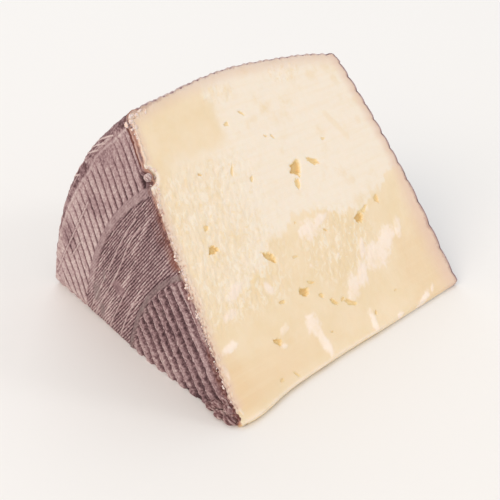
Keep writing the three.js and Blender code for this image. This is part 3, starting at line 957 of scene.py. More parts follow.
def outline(turn):
    """The wedge's outline in a knife cut, from the near end of the tip round to its far end"""
    halves = []
    for flank in (NEAR, FAR):
        from_tip = np.arange(0, reach(turn, flank.rim), FACE_STEP)
        y, z = from_tip * math.cos(turn), from_tip * math.sin(turn)
        x = flank.face(np.hypot(y - AXLE[0], z - AXLE[1]))
        share = np.linspace(0.001, 1, CORNER_STEPS)
        flat = raised_face(x, y, z, x * 0, x * 0, flank)
        corner = face_skin(np.full_like(share, turn), share, share, flank)
        halves.append({key: np.concatenate((flat[key], corner[key])) for key in flat})
    near, far = halves
    share = np.linspace(0, 1, SIDE_STEPS)[1:-1]
    side = side_skin(np.full_like(share, turn), share)
    whole = {key: np.concatenate((near[key], side[key], far[key][::-1])) for key in near}
    length = np.hypot(np.diff(whole["x"]), np.diff(np.hypot(whole["y"], whole["z"])))
    along = whole["along"] = np.concatenate(((0,), np.cumsum(length)))
    # The corners of a cut lie in the middle of its round shoulders
    half, before_far = CORNER_STEPS // 2, len(near["x"]) + len(share)
    return whole, along[len(near["x"]) - half], along[before_far + half - 1]


def cut_marks(x, s, upper):
    """Height over a knife cut, and how pale, smeared, torn or hollow the paste is there; the smears carry a
    painted highlight
    """
    seed = 900 if upper else 950
    wavy, patch, grit = (hills(x, s, size, seed + number, 2) for number, size in enumerate((7, 3, 1.2)))
    height = 0.14 * hills(x, s, 26, seed + 3) + 0.03 * patch + 0.015 * grit
    if upper:
        pale, torn = upper_tones(x, s, wavy, patch, seed)
    else:
        pale = smooth(-0.25, 0.35, hills(x, s, 24, seed + 5, 2))
        torn = smooth(0.1, 0.6, hills(x, s, 21, seed + 6))
    along, across = turned(x, s, STROKE_LEAN)
    stroke = hills(across, along / 1.4, 1.7, seed + 8, 3)
    knife = hills(x * 0.12 + s * 0.03, s - x * 0.12, 1.4, seed + 9)
    height = height + torn * (0.24 * stroke + 0.06 * grit) + 0.025 * knife * pale
    smear = np.zeros_like(x)
    for at_x, at_s, long, wide, turn in SMEARS_AND_HIGHLIGHTS if upper else ():
        a, b = turned(x - at_x, s - at_s, math.radians(turn))
        size = np.hypot(a / long, b / wide) + 0.42 * grit + 0.34 * patch
        smear = np.maximum(smear, smooth(1.2, 0.62, size))
    height = height + 0.07 * smear
    eye = np.zeros_like(x)
    for number, eye_size in enumerate(UPPER_EYES if upper else LOWER_EYES):
        open_eye(x, s, eye_size, number, grit, patch, height, eye)
    return height, {"pale": pale, "torn": torn, "smear": smear, "eye": eye}


def upper_tones(x, s, wavy, patch, seed):
    """Where the upper cut is pale and matt rather than moist, and where it is torn"""
    streaky = hills(x, s / 3, 1.6, seed + 10, 2)
    border = np.interp(x, *PALE_BORDER)
    pale = smooth(border - 1.1, border + 1.1, s + 3.2 * wavy + 1.8 * patch + 1.6 * streaky)
    dull = np.maximum(smooth(42, 36, x + 4 * wavy) * smooth(74, 79, s + 3 * wavy) * smooth(97, 92, s),
                      smooth(17, 11, x + wavy) * smooth(66, 73, s) * smooth(95, 90, s))
    pale = pale * (1 - 0.9 * dull)
    torn = smooth(2, 7, x) * smooth(52, 30, x + 5 * wavy)
    torn = torn * smooth(22, 30, s + 3 * wavy) * smooth(76, 70, s + 3 * wavy)
    for at_x, at_s, narrow, edge, full, strength in TORN_PLACES:
        torn = np.maximum(torn, strength * smooth(edge, full, np.hypot((x - at_x) * narrow, s - at_s)))
    dim = smooth(3.2, 1.2, line_gap(x, s, DIM_STREAK) * 2)
    for at_x, at_s, size in DIM_PLACES:
        dim = np.maximum(dim, 0.9 * smooth(size, size * 0.3, np.hypot(x - at_x, s - at_s) + 0.8 * patch))
    pale = pale * (0.28 + 0.22 * smooth(6, 16, x) + 0.5 * smooth(18, 46, x + 4 * wavy)) - 0.42 * dim
    pale = pale - 0.4 * smooth(80, 92, x + 6 * wavy) * smooth(33, 22, s + 5 * wavy)
    off_foot = smooth(1.5, 6, s)
    pale = pale - 0.4 * smooth(24, 8, s + 5 * wavy) * smooth(60, 20, x) * off_foot
    pale = pale - 0.22 * smooth(14, 5, x) * smooth(34, 24, s) * off_foot
    return pale, torn


def open_eye(x, s, eye_size, number, grit, patch, height, eye):
    """Sinks one eye into a cut's height and notes how deep it is"""
    at_x, at_s, long, wide, turn, deep = eye_size
    a, b = turned(x - at_x, s - at_s, math.radians(turn))
    here = np.hypot(a, b) < long
    a, b = a[here], b[here]
    angle = np.arctan2(b / wide, a / long)
    jag = (0.12 * np.sin(2 * angle + number * 1.7) + 0.12 * np.sin(3 * angle + number)
           + 0.07 * np.sin(5 * angle + 2 * number) + 0.05 * np.sin(9 * angle + number))
    blunt = (np.abs(a / (long / 2)) ** EYE_BLUNT + np.abs(b / (wide / 2)) ** EYE_BLUNT) ** (1 / EYE_BLUNT)
    size = blunt * (1 + jag) + 0.28 * grit[here]
    height[here] -= deep * EYE_DEPTH * smooth(1.2, 0.45, size) * (0.85 + 0.3 * patch[here])
    eye[here] = np.maximum(eye[here], smooth(1.24, 0.66, size) * min(1.0, 0.4 + deep * 0.42))


class PasteSheet:
    """Both knife cuts as one sheet that folds round the tip"""

    def __init__(self, columns, lower_rows, upper_rows):
        self.columns, self.rows = columns, lower_rows + upper_rows
        self.fold = lower_rows / self.rows
        self.outlines = {True: outline(WEDGE_ANGLE), False: outline(0.0)}

    def side_of(self, line, at):
        """Nominal place, relief and outward direction on an outline at given lengths along it"""
        got = {key: np.interp(at, line["along"], line[key])
               for key in ("x", "y", "z", "n_x", "n_r", "height")}
        got["s"] = np.hypot(got["y"], got["z"])
        return got

    def flat_place(self, u, v, upper):
        """Place on a cut in its own plane, and its gaps to the rind"""
        line, near_corner, far_corner = self.outlines[upper]
        end = line["along"][-1]
        sides = {
            "left": self.side_of(line, v * near_corner),
            "right": self.side_of(line, end - v * (end - far_corner)),
            "top": self.side_of(line, near_corner + u * (far_corner - near_corner)),
        }
        corners = [self.side_of(line, np.array([at])) for at in (0, end, near_corner, far_corner)]
        # How far the rims stand out of the outline, along the axle and up the cut
        rims = {}
        for key, side in sides.items():
            places, levels, ragged, seed = RIM_WALLS[key]
            wall = np.interp(side["s"], places, levels)
            wall = wall + ragged * hills(side["s"], side["x"] * 0.2, 1.7, seed, 3)
            out = np.minimum(side["height"], 2) - wall
            rims[key] = (out * side["n_x"], out * side["n_r"])
        tips = []
        for corner in corners:
            out = corner["height"] - CORNER_WALL
            tips.append((out * corner["n_x"], out * corner["n_r"]))

        def blend(key, foot):
            left, right, top = (sides[name][key] for name in ("left", "right", "top"))
            return ((1 - u) * left + u * right + (1 - v) * foot + v * top
                    - (1 - u) * (1 - v) * corners[0][key] - u * (1 - v) * corners[1][key]
                    - (1 - u) * v * corners[2][key] - u * v * corners[3][key])

        def shift(i):
            left, right, top = (rims[name][i] for name in ("left", "right", "top"))
            return (fade_left * left + fade_right * right + fade_top * top
                    - fade_left * fade_top * tips[2][i] - fade_right * fade_top * tips[3][i])

        fade_left, fade_right, fade_top = (
            np.clip(1 - gap / RIM_FADE, 0, 1) ** 2 for gap in (u, 1 - u, 1 - v))
        x = blend("x", toward(line["x"][0], line["x"][-1], u)) + shift(0)
        s = blend("s", 0) + shift(1)
        gaps = {"near_gap": x - sides["left"]["x"] - rims["left"][0],
                "far_gap": sides["right"]["x"] + rims["right"][0] - x,
                "side_gap": self.side_height(x, upper) - s}
        return x, np.maximum(s, 0), gaps

    def side_height(self, x, upper):
        """How far up the cut the wheel's round side stands"""
        line, near_corner, far_corner = self.outlines[upper]
        on_side = (line["along"] >= near_corner) & (line["along"] <= far_corner)
        at = line["x"][on_side]
        order = np.argsort(at)
        return np.interp(x, at[order], np.hypot(line["y"], line["z"])[on_side][order])

    def place(self, across, up):
        """Shares of the sheet into points. up runs from the far end of the underside, round the tip"""
        # Finer columns by the near rind
        turn = np.pi * across
        u = across - END_GRADE * np.sin(2 * turn) / (2 * np.pi) - NEAR_GRADE * np.sin(turn) / np.pi
        points, ring = np.zeros((len(u), 3)), np.zeros((len(u), 3))
        notes = {name: np.zeros(len(u)) for name in PASTE_MARKS}
        for upper in (True, False):
            here = (up >= self.fold - 1e-9) == upper
            v = np.clip((up[here] - self.fold) / (1 - self.fold) if upper else 1 - up[here] / self.fold, 0, 1)
            x, s, gaps = self.flat_place(u[here], v, upper)
            height, marks = cut_marks(x, s, upper)
            edge = np.minimum.reduce(list(gaps.values()))
            height = height * smooth(0.1, 2.5, edge) * smooth(0, 6, s)
            height, marks = self.worn(x, s, gaps, height, marks, upper)
            height = height - PASTE_DIP * smooth(0.3, 0.0, edge)
            points[here] = settled(x, *self.folded(s, height, upper))
            for name, values in {**marks, **gaps}.items():
                notes[name][here] = values
            ring[here] = self.inner_ring(u[here], v, upper)
        return points, (ring,), notes

    def worn(self, x, s, gaps, height, marks, upper):
        """Crumbled edge along the near rind, the gap that holds the knob and the soft far edges"""
        low_lip = smooth(78, 62, x) * (0.8 + 0.3 * hills(x, s, 6, 76))
        if not upper:
            # Painted golden shade on the underside by the rounded tip
            marks["eye"] = np.maximum(marks["eye"], 1.1 * smooth(3.2, 1.2, s) * low_lip)
            return np.minimum(height, 0), marks
        # A burr along the foot of the cut, with a painted highlight on top and painted golden shade under it
        burr = np.exp(-(((s - 2.0 - 0.5 * hills(x, s * 0, 9, 77)) / 0.9) ** 2)) * low_lip
        marks["pale"] = marks["pale"] + 0.45 * smooth(3.0, 1.6, s) * low_lip
        # Painted golden shade along the very foot of the cut, under the rounded tip
        painted_lip_shade = np.maximum(smooth(1.0, 0.2, s), 0.16 * smooth(5, 2.5, s)) * low_lip
        # A crumbled border along the near rind and, more thinly, along the side
        gap = gaps["near_gap"]
        grain = hills(x, s, 1.0, 72, 3)
        broad = hills(x, s, 3, 71)
        wider = 0.7 * smooth(22, 30, s) * smooth(64, 52, s)
        border = smooth(2.9, 1.0, gap + 0.9 * broad - wider) * smooth(2.5, 5, s)
        corner = smooth(20, 7, x) * smooth(84, 90, s)
        rim_border = smooth(2.4, 0.6, gaps["side_gap"] - 0.8 * corner + 0.7 * broad) * (0.3 + 0.7 * corner)
        crumbly = np.maximum(border, rim_border)
        from_strip = np.abs(gap - np.interp(s, (78, 90), (0.7, 1.2)) + 0.2 * broad)
        strip = smooth(0.6, 0.2, from_strip) * smooth(76, 79, s)
        tops = np.maximum(smooth(-0.15, 0.3, grain) * crumbly, 0.9 * strip)
        pits = smooth(-0.1, -0.45, grain) * crumbly * (1 - strip)
        height = height + 0.32 * burr + crumbly * (0.4 * grain + 0.1) + 0.2 * strip
        # A peeled strip above the knob, sunk beside a proud thread of rind
        half = np.interp(s, (78, 90), (0.18, 0.4))
        near = gap - 1.4 * pits + 0.9 * tops + 8 * smooth(6, 2.5, s)
        peel = smooth(half + 0.2, half - 0.15, np.abs(gap - half)) * smooth(77, 79, s) * smooth(93, 90, s)
        # The hole that the knob sits in
        hole = off_place(x, s, KNOB[0] + 0.4, KNOB[1], 2.4, 2.5) + 0.16 * hills(x, s, 1.5, 73, 2)
        height = height - 0.15 * peel - 2.3 * smooth(1.1, 0.6, hole)
        gaps["near_gap"] = near - 1.2 * peel + 4 * smooth(0.55, 0.85, hole) * smooth(1.7, 1.2, hole)
        gaps["far_gap"] = gaps["far_gap"] * np.interp(s, (0, 28, 38, 55, 90), (0.6, 0.62, 0.75, 1.35, 1.25))
        gaps["side_gap"] = gaps["side_gap"] - 0.7 * pits + 0.5 * tops
        round_hole = smooth(0.85, 1.05, hole) * smooth(1.6, 1.3, hole)
        # The burr's top is painted pale as a highlight
        marks["smear"] = np.maximum.reduce((marks["smear"], 0.8 * burr, 0.95 * tops, round_hole))
        # The lip's painted golden shade goes into the eye mark
        marks["eye"] = np.where(hole < 1.3, 0, np.maximum(marks["eye"], painted_lip_shade))
        return height, marks

    def folded(self, s, height, upper):
        """Turns a place up a cut and a height over it into Y and Z, with the tip rounded"""
        turn, side = (WEDGE_ANGLE, 1) if upper else (0.0, -1)
        tangent = TIP_ROUND / math.tan(WEDGE_ANGLE / 2)
        y_round, z_round = tip_arc(np.clip(s / tangent, 0, 1), side, height)
        return (np.where(s >= tangent, s * math.cos(turn) - side * height * math.sin(turn), y_round),
                np.where(s >= tangent, s * math.sin(turn) + side * height * math.cos(turn), z_round))

    def inner_ring(self, u, v, upper):
        """Where the sheet's rim is turned in to, under the rind"""
        line, near_corner, far_corner = self.outlines[upper]
        end = line["along"][-1]
        at = np.where(u < 1e-6, v * near_corner, np.where(
            u > 1 - 1e-6, end - v * (end - far_corner), near_corner + u * (far_corner - near_corner)))
        return placed(*sunk_from_cuts(*lifted(self.side_of(line, at), -PASTE_BACK), RIND_BACK_DIP))

    def hidden(self, across, up):
        """The paste's own hidden side under the rind, drawn in from both cuts"""
        share = HIDDEN_START + across * (1 - 2 * HIDDEN_START)
        high, low = (self.side_of(line, share * line["along"][-1])
                     for line in (self.outlines[True][0], self.outlines[False][0]))
        got = {key: toward(low[key], high[key], up) for key in ("x", "n_x", "n_r", "s")}
        margin = 2.2 / np.maximum(got["s"] * WEDGE_ANGLE, 4.0)
        mix = margin + up * (1 - 2 * margin)
        turn = WEDGE_ANGLE * mix
        # How far the wheel's round side stands out of the straight mix of its two cut ends
        straight = toward(reach(0.0, WHEEL_RADIUS), reach(WEDGE_ANGLE, WHEEL_RADIUS), mix)
        bow = reach(turn, WHEEL_RADIUS) - straight
        radial = got["s"] + bow * np.clip(got["s"] / WHEEL_RADIUS, 0, 1) - PASTE_BACK * got["n_r"]
        x = got["x"] - PASTE_BACK * got["n_x"]
        return placed(x, radial * np.cos(turn), radial * np.sin(turn)), (), {}


def build_paste(material):
    """Both cuts as one sheet, closed by a hidden back under the rind"""
    sheet = PasteSheet(300, 60, 210)
    bm = new_sheet(PASTE_MARKS)
    made = bmesh.ops.create_grid(bm, x_segments=sheet.columns, y_segments=sheet.rows, size=0.5)["verts"]
    # Finer quads round the eyes, but not along the foot, which carries their colours as painted shade
    across, up = shares_of(made)
    rough = (sheet.place(across, up)[2]["eye"] > 0.04) & (np.abs(up - sheet.fold) > 0.03)
    close = set(v for v, wanted in zip(made, rough.tolist()) if wanted)
    edges = [e for e in bm.edges if e.verts[0] in close or e.verts[1] in close]
    bmesh.ops.subdivide_edges(bm, edges=edges, cuts=2, use_grid_fill=True)
    put_down(bm, list(bm.verts), sheet.place, PASTE_MARKS)
    closed_skin(bm, RINGS[:1], (150, 7), sheet.hidden)
    return finished("paste", bm, material)


# Crumbs and knobs

def build_crumbs(material, count, size):
    """Crumbs that the knife broke out along the near edge of the upper cut: strewn ones, then the biggest"""
    sheet = PasteSheet(10, 10, 10)
    line, near_corner, _ = sheet.outlines[True]
    chance = np.random.RandomState(7)
    bm = bmesh.new()
    rind = bm.verts.layers.float.new("rind_share")
    for number in range(count):
        up, keep, dark = chance.uniform(0.08, 1.0), chance.uniform(0, 1), chance.uniform(0, 1)
        top, middle = up > 0.92, 0.34 < up < 0.76
        inward = chance.normal(0.4, 0.4) + top * abs(chance.normal(0, 0.9))
        grain = size * (0.35 + 1.1 * chance.uniform(0, 1) ** 2.2) * (1.4 if top else 1.5 if middle else 1.0)
        radii = grain * chance.uniform(0.6, 1.3, 3) * (1, 1, 0.7)
        turn = chance.uniform(0, 2 * np.pi, 3) * (0.15, 0.15, 1)
        dense = 0.35 + 0.5 * top + 0.45 * middle + 0.35 * (up < 0.3) - 0.3 * (0.8 < up < 0.92)
        if keep > dense or inward < -0.5:
            continue
        rim = sheet.side_of(line, np.array([up * near_corner]))
        if middle and hills(rim["s"], rim["s"] * 0, 4, 8, 2)[0] < keep - 0.45:
            continue
        place = rim["x"][0] + 0.25 + inward, rim["s"][0], -0.1 * grain
        add_crumb(bm, rind, place, radii, turn, 0.5 if dark < 0.08 else 0.0, 2, number)
    for number, (x, up, size_x, size_up, turn, share) in enumerate(LUMPS):
        radii = np.array((size_x, size_up, 0.8 * min(size_x, size_up)))
        add_crumb(bm, rind, (x, up, 0.0), radii, (0.2, 0.1, math.radians(turn)), share, 4, 500 + number)
    return finished("crumbs", bm, material)


def build_rind_lumps(material):
    """Rind that was dragged over the near end of the tip and stands there in knobs, and one in the gap"""
    bm = bmesh.new()
    for name in MARKS:
        bm.verts.layers.float.new(name)
    for number, (place, radii, (rough, pale, crag_tone, stain, shade_end)) in enumerate(RIND_KNOBS, 1):
        made, points, across, along = round_ball(bm, 5)
        crags = hills(across, along, 0.5, 700 + number, 3)
        swell = 1 + 0.24 * hills(across, along, 1.0, 720 + number, 2) + rough * crags
        points = points * swell[:, None] * radii + place
        move_to(made, settled(*points.T))
        # Painted shade on the knob's end that sinks into its gap
        tone = pale + crag_tone * crags - shade_end * (points[:, 0] > KNOB_SHADE_FROM)
        write_down(made, bm.verts.layers.float["pale"], tone)
        write_down(made, bm.verts.layers.float["stain"], np.full_like(crags, stain))
    return finished("rind_lumps", bm, material)


def round_ball(bm, fineness):
    """A ball's vertices and points, and flat places on it to read hills at"""
    made = bmesh.ops.create_icosphere(bm, subdivisions=fineness, radius=1.0)["verts"]
    points = np.array([v.co[:] for v in made])
    return made, points, points[:, 0] + 0.7 * points[:, 2], points[:, 1] - 0.6 * points[:, 2]


def add_crumb(bm, layer, place, radii, turn, share, fineness, seed):
    """One crumb: a small ball pushed out of round, set into the cut"""
    made, points, across, along = round_ball(bm, fineness)
    points = points * (1 + 0.5 * hills(across, along, 1.1, seed + 30, 3))[:, None] * radii
    about_x, about_y, about_z = (Matrix.Rotation(angle, 3, axis) for angle, axis in zip(turn, "XYZ"))
    x, up, over = (points @ np.array(about_x @ about_y @ about_z).T + place).T
    y = up * math.cos(WEDGE_ANGLE) - over * math.sin(WEDGE_ANGLE)
    z = up * math.sin(WEDGE_ANGLE) + over * math.cos(WEDGE_ANGLE)
    move_to(made, settled(x, y, z))
    write_down(made, layer, np.full_like(x, share))


# Materials

def new_material(name):
    material = bpy.data.materials.new(name)
    material.use_nodes = True
    material.node_tree.nodes.clear()
    return material


def add_node(material, kind, settings=None, inputs=None, output=0):
    """Adds a shader node, sets it up, links or sets its inputs and returns one of its outputs"""
    tree = material.node_tree
    node = tree.nodes.new(kind)
    for name, value in (settings or {}).items():
        setattr(node, name, value)
    for key, value in (inputs or {}).items():
        if isinstance(value, bpy.types.NodeSocket):
            tree.links.new(value, node.inputs[key])
        else:
            node.inputs[key].default_value = value
    return node.outputs[output] if node.outputs else node


# Kinds of shader node that come again, with their settings
PLUS, LESS, TIMES, TIMES_PLUS = (
    ("ShaderNodeMath", {"operation": kind}) for kind in ("ADD", "SUBTRACT", "MULTIPLY", "MULTIPLY_ADD"))
LIMITED = ("ShaderNodeMath", {"operation": "MULTIPLY", "use_clamp": True})
COAT = ("ShaderNodeMix", {"data_type": "RGBA"})


def rind_material(colours):
    """Wine-washed pressed rind: a dry skin that has dried matt. Dark where wine pooled in the grooves,
    dusty mauve-grey on the tops of the cords, with a red-brown bloom by the knife cut"""
    m = new_material("wine_washed_rind")
    place = add_node(m, "ShaderNodeTexCoord", output="Object")
    got = {name: add_node(m, "ShaderNodeAttribute", {"attribute_name": name}, output="Fac") for name in MARKS}
    # Grains of dust, specks of dried wine and softer clouds: size in metres, detail, roughness
    dust, speck, cloud = (
        add_node(m, "ShaderNodeTexNoise", inputs={
            "Vector": place, "Scale": 1 / size, "Detail": detail, "Roughness": rough})
        for size, detail, rough in ((0.0005, 2.0, 0.7), (0.0011, 4.0, 0.7), (0.005, 4.0, 0.6)))
    level = got["pale"]
    for layer, strength in ((dust, 0.34), (speck, 0.5), (cloud, 0.24)):
        centred = add_node(m, *LESS, {0: layer, 1: 0.5})
        level = add_node(m, *TIMES_PLUS, {0: centred, 1: strength, 2: level})
    colour = add_node(m, "ShaderNodeValToRGB", inputs={"Fac": level})
    stops = colour.node.color_ramp.elements
    stops[0].position, stops[0].color = 0.05, (*colours.groove, 1)
    stops[1].position, stops[1].color = 0.95, (*colours.dust, 1)
    for position, tone in ((0.32, colours.wine), (0.62, colours.ridge)):
        stops.new(position).color = (*tone, 1)
    # The wall at a cut turns from rind to paste within half a millimetre, and worn corners show the paste
    soft = add_node(m, *TIMES, {0: got["grey"], 1: 0.45})
    wall, bare = (
        add_node(m, "ShaderNodeMapRange", inputs={"Value": got["inside"], "From Min": low, "From Max": high})
        for low, high in ((0.55, 0.9), (1.0, 1.9)))
    for share, tone in ((got["stain"], "bloom"), (soft, "grey"), (wall, "inner"), (bare, "bare")):
        colour = add_node(m, *COAT, {
            "Factor": share, 6: colour, 7: (*getattr(colours, tone), 1)}, 2)
    bump = add_node(m, "ShaderNodeBump", inputs={"Strength": 0.5, "Distance": 0.0003, "Height": speck})
    shader = add_node(m, "ShaderNodeBsdfPrincipled", inputs={
        "Base Color": colour, "Roughness": 0.82, "IOR": 1.45, "Specular IOR Level": 0.28, "Normal": bump})
    add_node(m, "ShaderNodeOutputMaterial", inputs={"Surface": shader})
    return m


def paste_material(colours):
    """Pressed goat curd: close, moist and slightly translucent, cut with a knife. Ivory where the cut is
    matt, straw-coloured where it is moist and smooth, pinkish next to the rind, golden in the eyes"""
    m = new_material("pressed_goat_curd")
    place = add_node(m, "ShaderNodeTexCoord", output="Object")
    got = {name: add_node(m, "ShaderNodeAttribute", {"attribute_name": name}, output="Fac")
           for name in PASTE_MARKS}
    # Broad clouds and the grain of the curd: size in metres, detail
    cloud, curd = (
        add_node(m, "ShaderNodeTexNoise", inputs={
            "Vector": place, "Scale": 1 / size, "Detail": detail, "Roughness": 0.6})
        for size, detail in ((0.009, 5.0), (0.0016, 3.0)))
    # Torn strokes, about twice as long as they are wide, that lean with the knife's travel up the cut
    flat = add_node(m, "ShaderNodeVectorRotate", {"rotation_type": "X_AXIS"}, {
        "Vector": place, "Angle": -WEDGE_ANGLE})
    lean = add_node(m, "ShaderNodeVectorRotate", {"rotation_type": "Z_AXIS"}, {
        "Vector": flat, "Angle": -STROKE_LEAN})
    strokes = add_node(m, "ShaderNodeMapping", inputs={
        "Vector": lean, "Scale": (1 / 0.0036, 1 / 0.0021, 1 / 0.004)})
    stroke = add_node(m, "ShaderNodeTexNoise", inputs={
        "Vector": strokes, "Scale": 1.0, "Detail": 5.0, "Roughness": 0.6, "Distortion": 0.9})
    # Faint long lines of the blade
    lines = add_node(m, "ShaderNodeMapping", inputs={
        "Vector": flat, "Rotation": (0, 0, math.radians(8)), "Scale": (1 / 0.03, 1 / 0.0016, 1 / 0.01)})
    knife = add_node(m, "ShaderNodeTexNoise", inputs={
        "Vector": lines, "Scale": 1.0, "Detail": 3.0, "Roughness": 0.6})
    # A gap to the rind that wanders with the curd, for the stained seam
    wander = add_node(m, *TIMES_PLUS, {0: curd, 1: 1.8, 2: -0.9})
    seams = {gap: add_node(m, *PLUS, {0: got[gap], 1: wander})
             for gap in ("far_gap", "side_gap", "near_gap")}

    # Coats of colour from below up: what drives one, where it starts and is full, its strength, its limit
    coats = (
        (cloud, 0.3, 0.7, 1.0, None, "cream"),
        (got["pale"], 0.0, -0.7, 1.0, None, "deep"),
        (cloud, 0.15, 0.5, 1.0, got["pale"], "ivory"),
        (knife, 0.42, 0.7, 0.22, None, "cream"),
        # Torn strokes: partly painted highlight on the raised ones, and painted shade as straw in the low
        # ones
        (stroke, 0.5, 0.62, 0.5, got["torn"], "fleck_and_highlight"),
        (stroke, 0.46, 0.34, 0.5, got["torn"], "straw"),
        (curd, 0.55, 0.68, 0.35, got["torn"], "eye"),
        # Smears, painted pale partly as highlights
        (cloud, 0.2, 0.55, 0.9, got["smear"], "smear"),
        (got["far_gap"], 7.0, 0.2, 0.85, None, "blush"),
        (got["side_gap"], 5.5, 0.2, 0.6, None, "blush"),
        (got["near_gap"], 4.6, 0.2, 0.85, None, "blush"),
        (seams["far_gap"], 1.1, -0.1, 0.7, None, "seam"),
        (seams["side_gap"], 0.8, -0.1, 0.5, None, "seam"),
        (seams["near_gap"], 1.5, -0.1, 0.75, None, "seam"),
        # The eyes' golden colour, also painted along the foot by the tip as golden shade; then painted shade
        # on the floors of the deepest eyes and on that foot
        (got["eye"], 0.05, 0.8, 0.92, None, "eye"),
        (got["eye"], 0.72, 1.0, 0.65, None, "hollow"),
        (curd, 0.3, 0.7, 0.08, None, "straw"),
    )
    colour = (*colours.straw, 1)
    for value, start, full, strength, limit, tone in coats:
        share = add_node(m, "ShaderNodeMapRange", {"interpolation_type": "SMOOTHSTEP"}, {
            "Value": value, "From Min": start, "From Max": full, "To Max": strength})
        if limit:
            share = add_node(m, *LIMITED, {0: share, 1: limit})
        colour = add_node(m, *COAT, {
            "Factor": share, 6: colour, 7: (*getattr(colours, tone), 1)}, 2)
    rough = 0.44
    for name, strength in (("pale", 0.1), ("torn", 0.12), ("smear", -0.14)):
        rough = add_node(m, *TIMES_PLUS, {0: got[name], 1: strength, 2: rough})
    relief = add_node(m, *TIMES, {0: stroke, 1: got["torn"]})
    relief = add_node(m, *TIMES_PLUS, {0: curd, 1: 0.35, 2: relief})
    bump = add_node(m, "ShaderNodeBump", inputs={"Strength": 0.4, "Distance": 0.00025, "Height": relief})
    shader = add_node(m, "ShaderNodeBsdfPrincipled", inputs={
        "Base Color": colour, "Roughness": rough, "IOR": 1.42, "Subsurface Weight": 0.22,
        "Subsurface Radius": (1.0, 0.8, 0.6), "Subsurface Scale": 0.002, "Normal": bump})
    add_node(m, "ShaderNodeOutputMaterial", inputs={"Surface": shader})
    return m


def crumb_material(colours):
    """Loose crumbs of curd, dried to a dull pinkish white, a few still with wine-dark rind on them"""
    m = new_material("dried_curd_crumb")
    place = add_node(m, "ShaderNodeTexCoord", output="Object")
    share = add_node(m, "ShaderNodeAttribute", {"attribute_name": "rind_share"}, output="Fac")
    blot = add_node(m, "ShaderNodeTexNoise", inputs={"Vector": place, "Scale": 1 / 0.0009, "Detail": 2.0})
    dark = add_node(m, *PLUS, {0: share, 1: blot})
    mask = add_node(m, "ShaderNodeMapRange", inputs={"Value": dark, "From Min": 0.66, "From Max": 1.4})
    colour = (*colours.blush, 1)
    light = add_node(m, "ShaderNodeMapRange", inputs={"Value": blot, "From Min": 0.3, "From Max": 0.6})
    for amount, tone in ((light, colours.crumb), (mask, colours.crust)):
        colour = add_node(m, *COAT, {"Factor": amount, 6: colour, 7: (*tone, 1)}, 2)
    bump = add_node(m, "ShaderNodeBump", inputs={"Strength": 0.4, "Distance": 0.0002, "Height": blot})
    shader = add_node(m, "ShaderNodeBsdfPrincipled", inputs={
        "Base Color": colour, "Roughness": 0.85, "Specular IOR Level": 0.25, "Subsurface Weight": 0.2,
        "Subsurface Radius": (1.0, 0.62, 0.34), "Subsurface Scale": 0.001, "Normal": bump})
    add_node(m, "ShaderNodeOutputMaterial", inputs={"Surface": shader})
    return m


# Settings that a user would change

def colour_property(name, description, code):
    return bpy.props.FloatVectorProperty(
        name=name, description=description, subtype="COLOR", size=3, min=0, max=1, default=linear(code))


def power_property(name, description, watts):
    return bpy.props.FloatProperty(name=name, description=description, subtype="POWER", min=0, default=watts)


class CheeseRind(bpy.types.PropertyGroup):
    wall: bpy.props.FloatProperty(
        name="Rind wall", description="How deep the rind stands at a cut", default=RIND_WALL * MM,
        min=0.0009, max=0.0015, precision=5, subtype="DISTANCE", unit="LENGTH")
    groove: colour_property("Groove", "Where wine pooled and dried", "#4a3539")
    wine: colour_property("Wine", "Washed rind between groove and ridge", "#75595d")
    ridge: colour_property("Ridge", "Tops of the cords", "#a58a8c")
    dust: colour_property("Dust", "Dry bloom on the highest places", "#cfbdba")
    bloom: colour_property("Bloom", "Red-brown stain beside the knife cut", "#7d4c3f")
    grey: colour_property("Grey", "Grey-green cast of the hoops", "#87827d")
    inner: colour_property("Inner", "Paste side of the rind where it is cut", "#c3937f")
    bare: colour_property("Bare corner", "Paste that shows where the rind has worn off", "#d6beaa")


class CheesePaste(bpy.types.PropertyGroup):
    straw: colour_property("Straw", "Smooth moist paste", "#ecd6b1")
    cream: colour_property("Cream", "Clouds in the moist paste", "#f0dcbd")
    ivory: colour_property("Ivory", "Matt paste", "#f4e8d8")
    deep: colour_property("Deep", "Paste that has darkened a little", "#e8cba2")
    # Painted highlight on the raised torn strokes, over their own paler tone
    fleck_and_highlight: colour_property("Fleck", "Raised torn strokes", "#f9f0e2")
    # Pale of the moist smears, partly a painted highlight
    smear: colour_property("Smear", "Moist smears left by the knife", "#f6e6d8")
    blush: colour_property("Blush", "Paste tinted by the rind", "#e4c5b3")
    seam: colour_property("Seam", "Stained seam between rind and paste", "#b98d80")
    eye: colour_property("Eye", "Inside of the eyes", "#eed39a")
    # Painted shade on the floors of the deepest eyes and along the foot of the tip
    hollow: colour_property("Hollow", "Floor of the deepest eyes", "#dcb572")
    crumb: colour_property("Crumb", "Dried curd of the crumbs", "#efdcd6")
    crust: colour_property("Crust", "Rind that clings to a crumb", "#6a4c4a")


class CheeseCrumbs(bpy.types.PropertyGroup):
    count: bpy.props.IntProperty(
        name="Crumbs", description="How many crumbs are strewn along the near edge", default=520, min=0)
    size: bpy.props.FloatProperty(
        name="Crumb size", description="Half the width of a middling crumb", default=0.00027, min=0,
        precision=5, subtype="DISTANCE", unit="LENGTH")


class CheeseStage(bpy.types.PropertyGroup):
    floor: colour_property("Floor", "Pale ground", "#efedeb")
    sky: bpy.props.FloatProperty(name="Room", description="Strength of the even light", default=0.654, min=0)
    lamp: power_property("Lamp", "Power of the small lamp", 28.7)
    fill: power_property("Fill lamp", "Power of the broad lamp on the left", 135)
    back: power_property("Back lamp", "Power of the lamp behind", 32)
    lens: bpy.props.FloatProperty(
        name="Lens", description="Focal length", default=66.24, min=10, subtype="DISTANCE_CAMERA")


# Operators

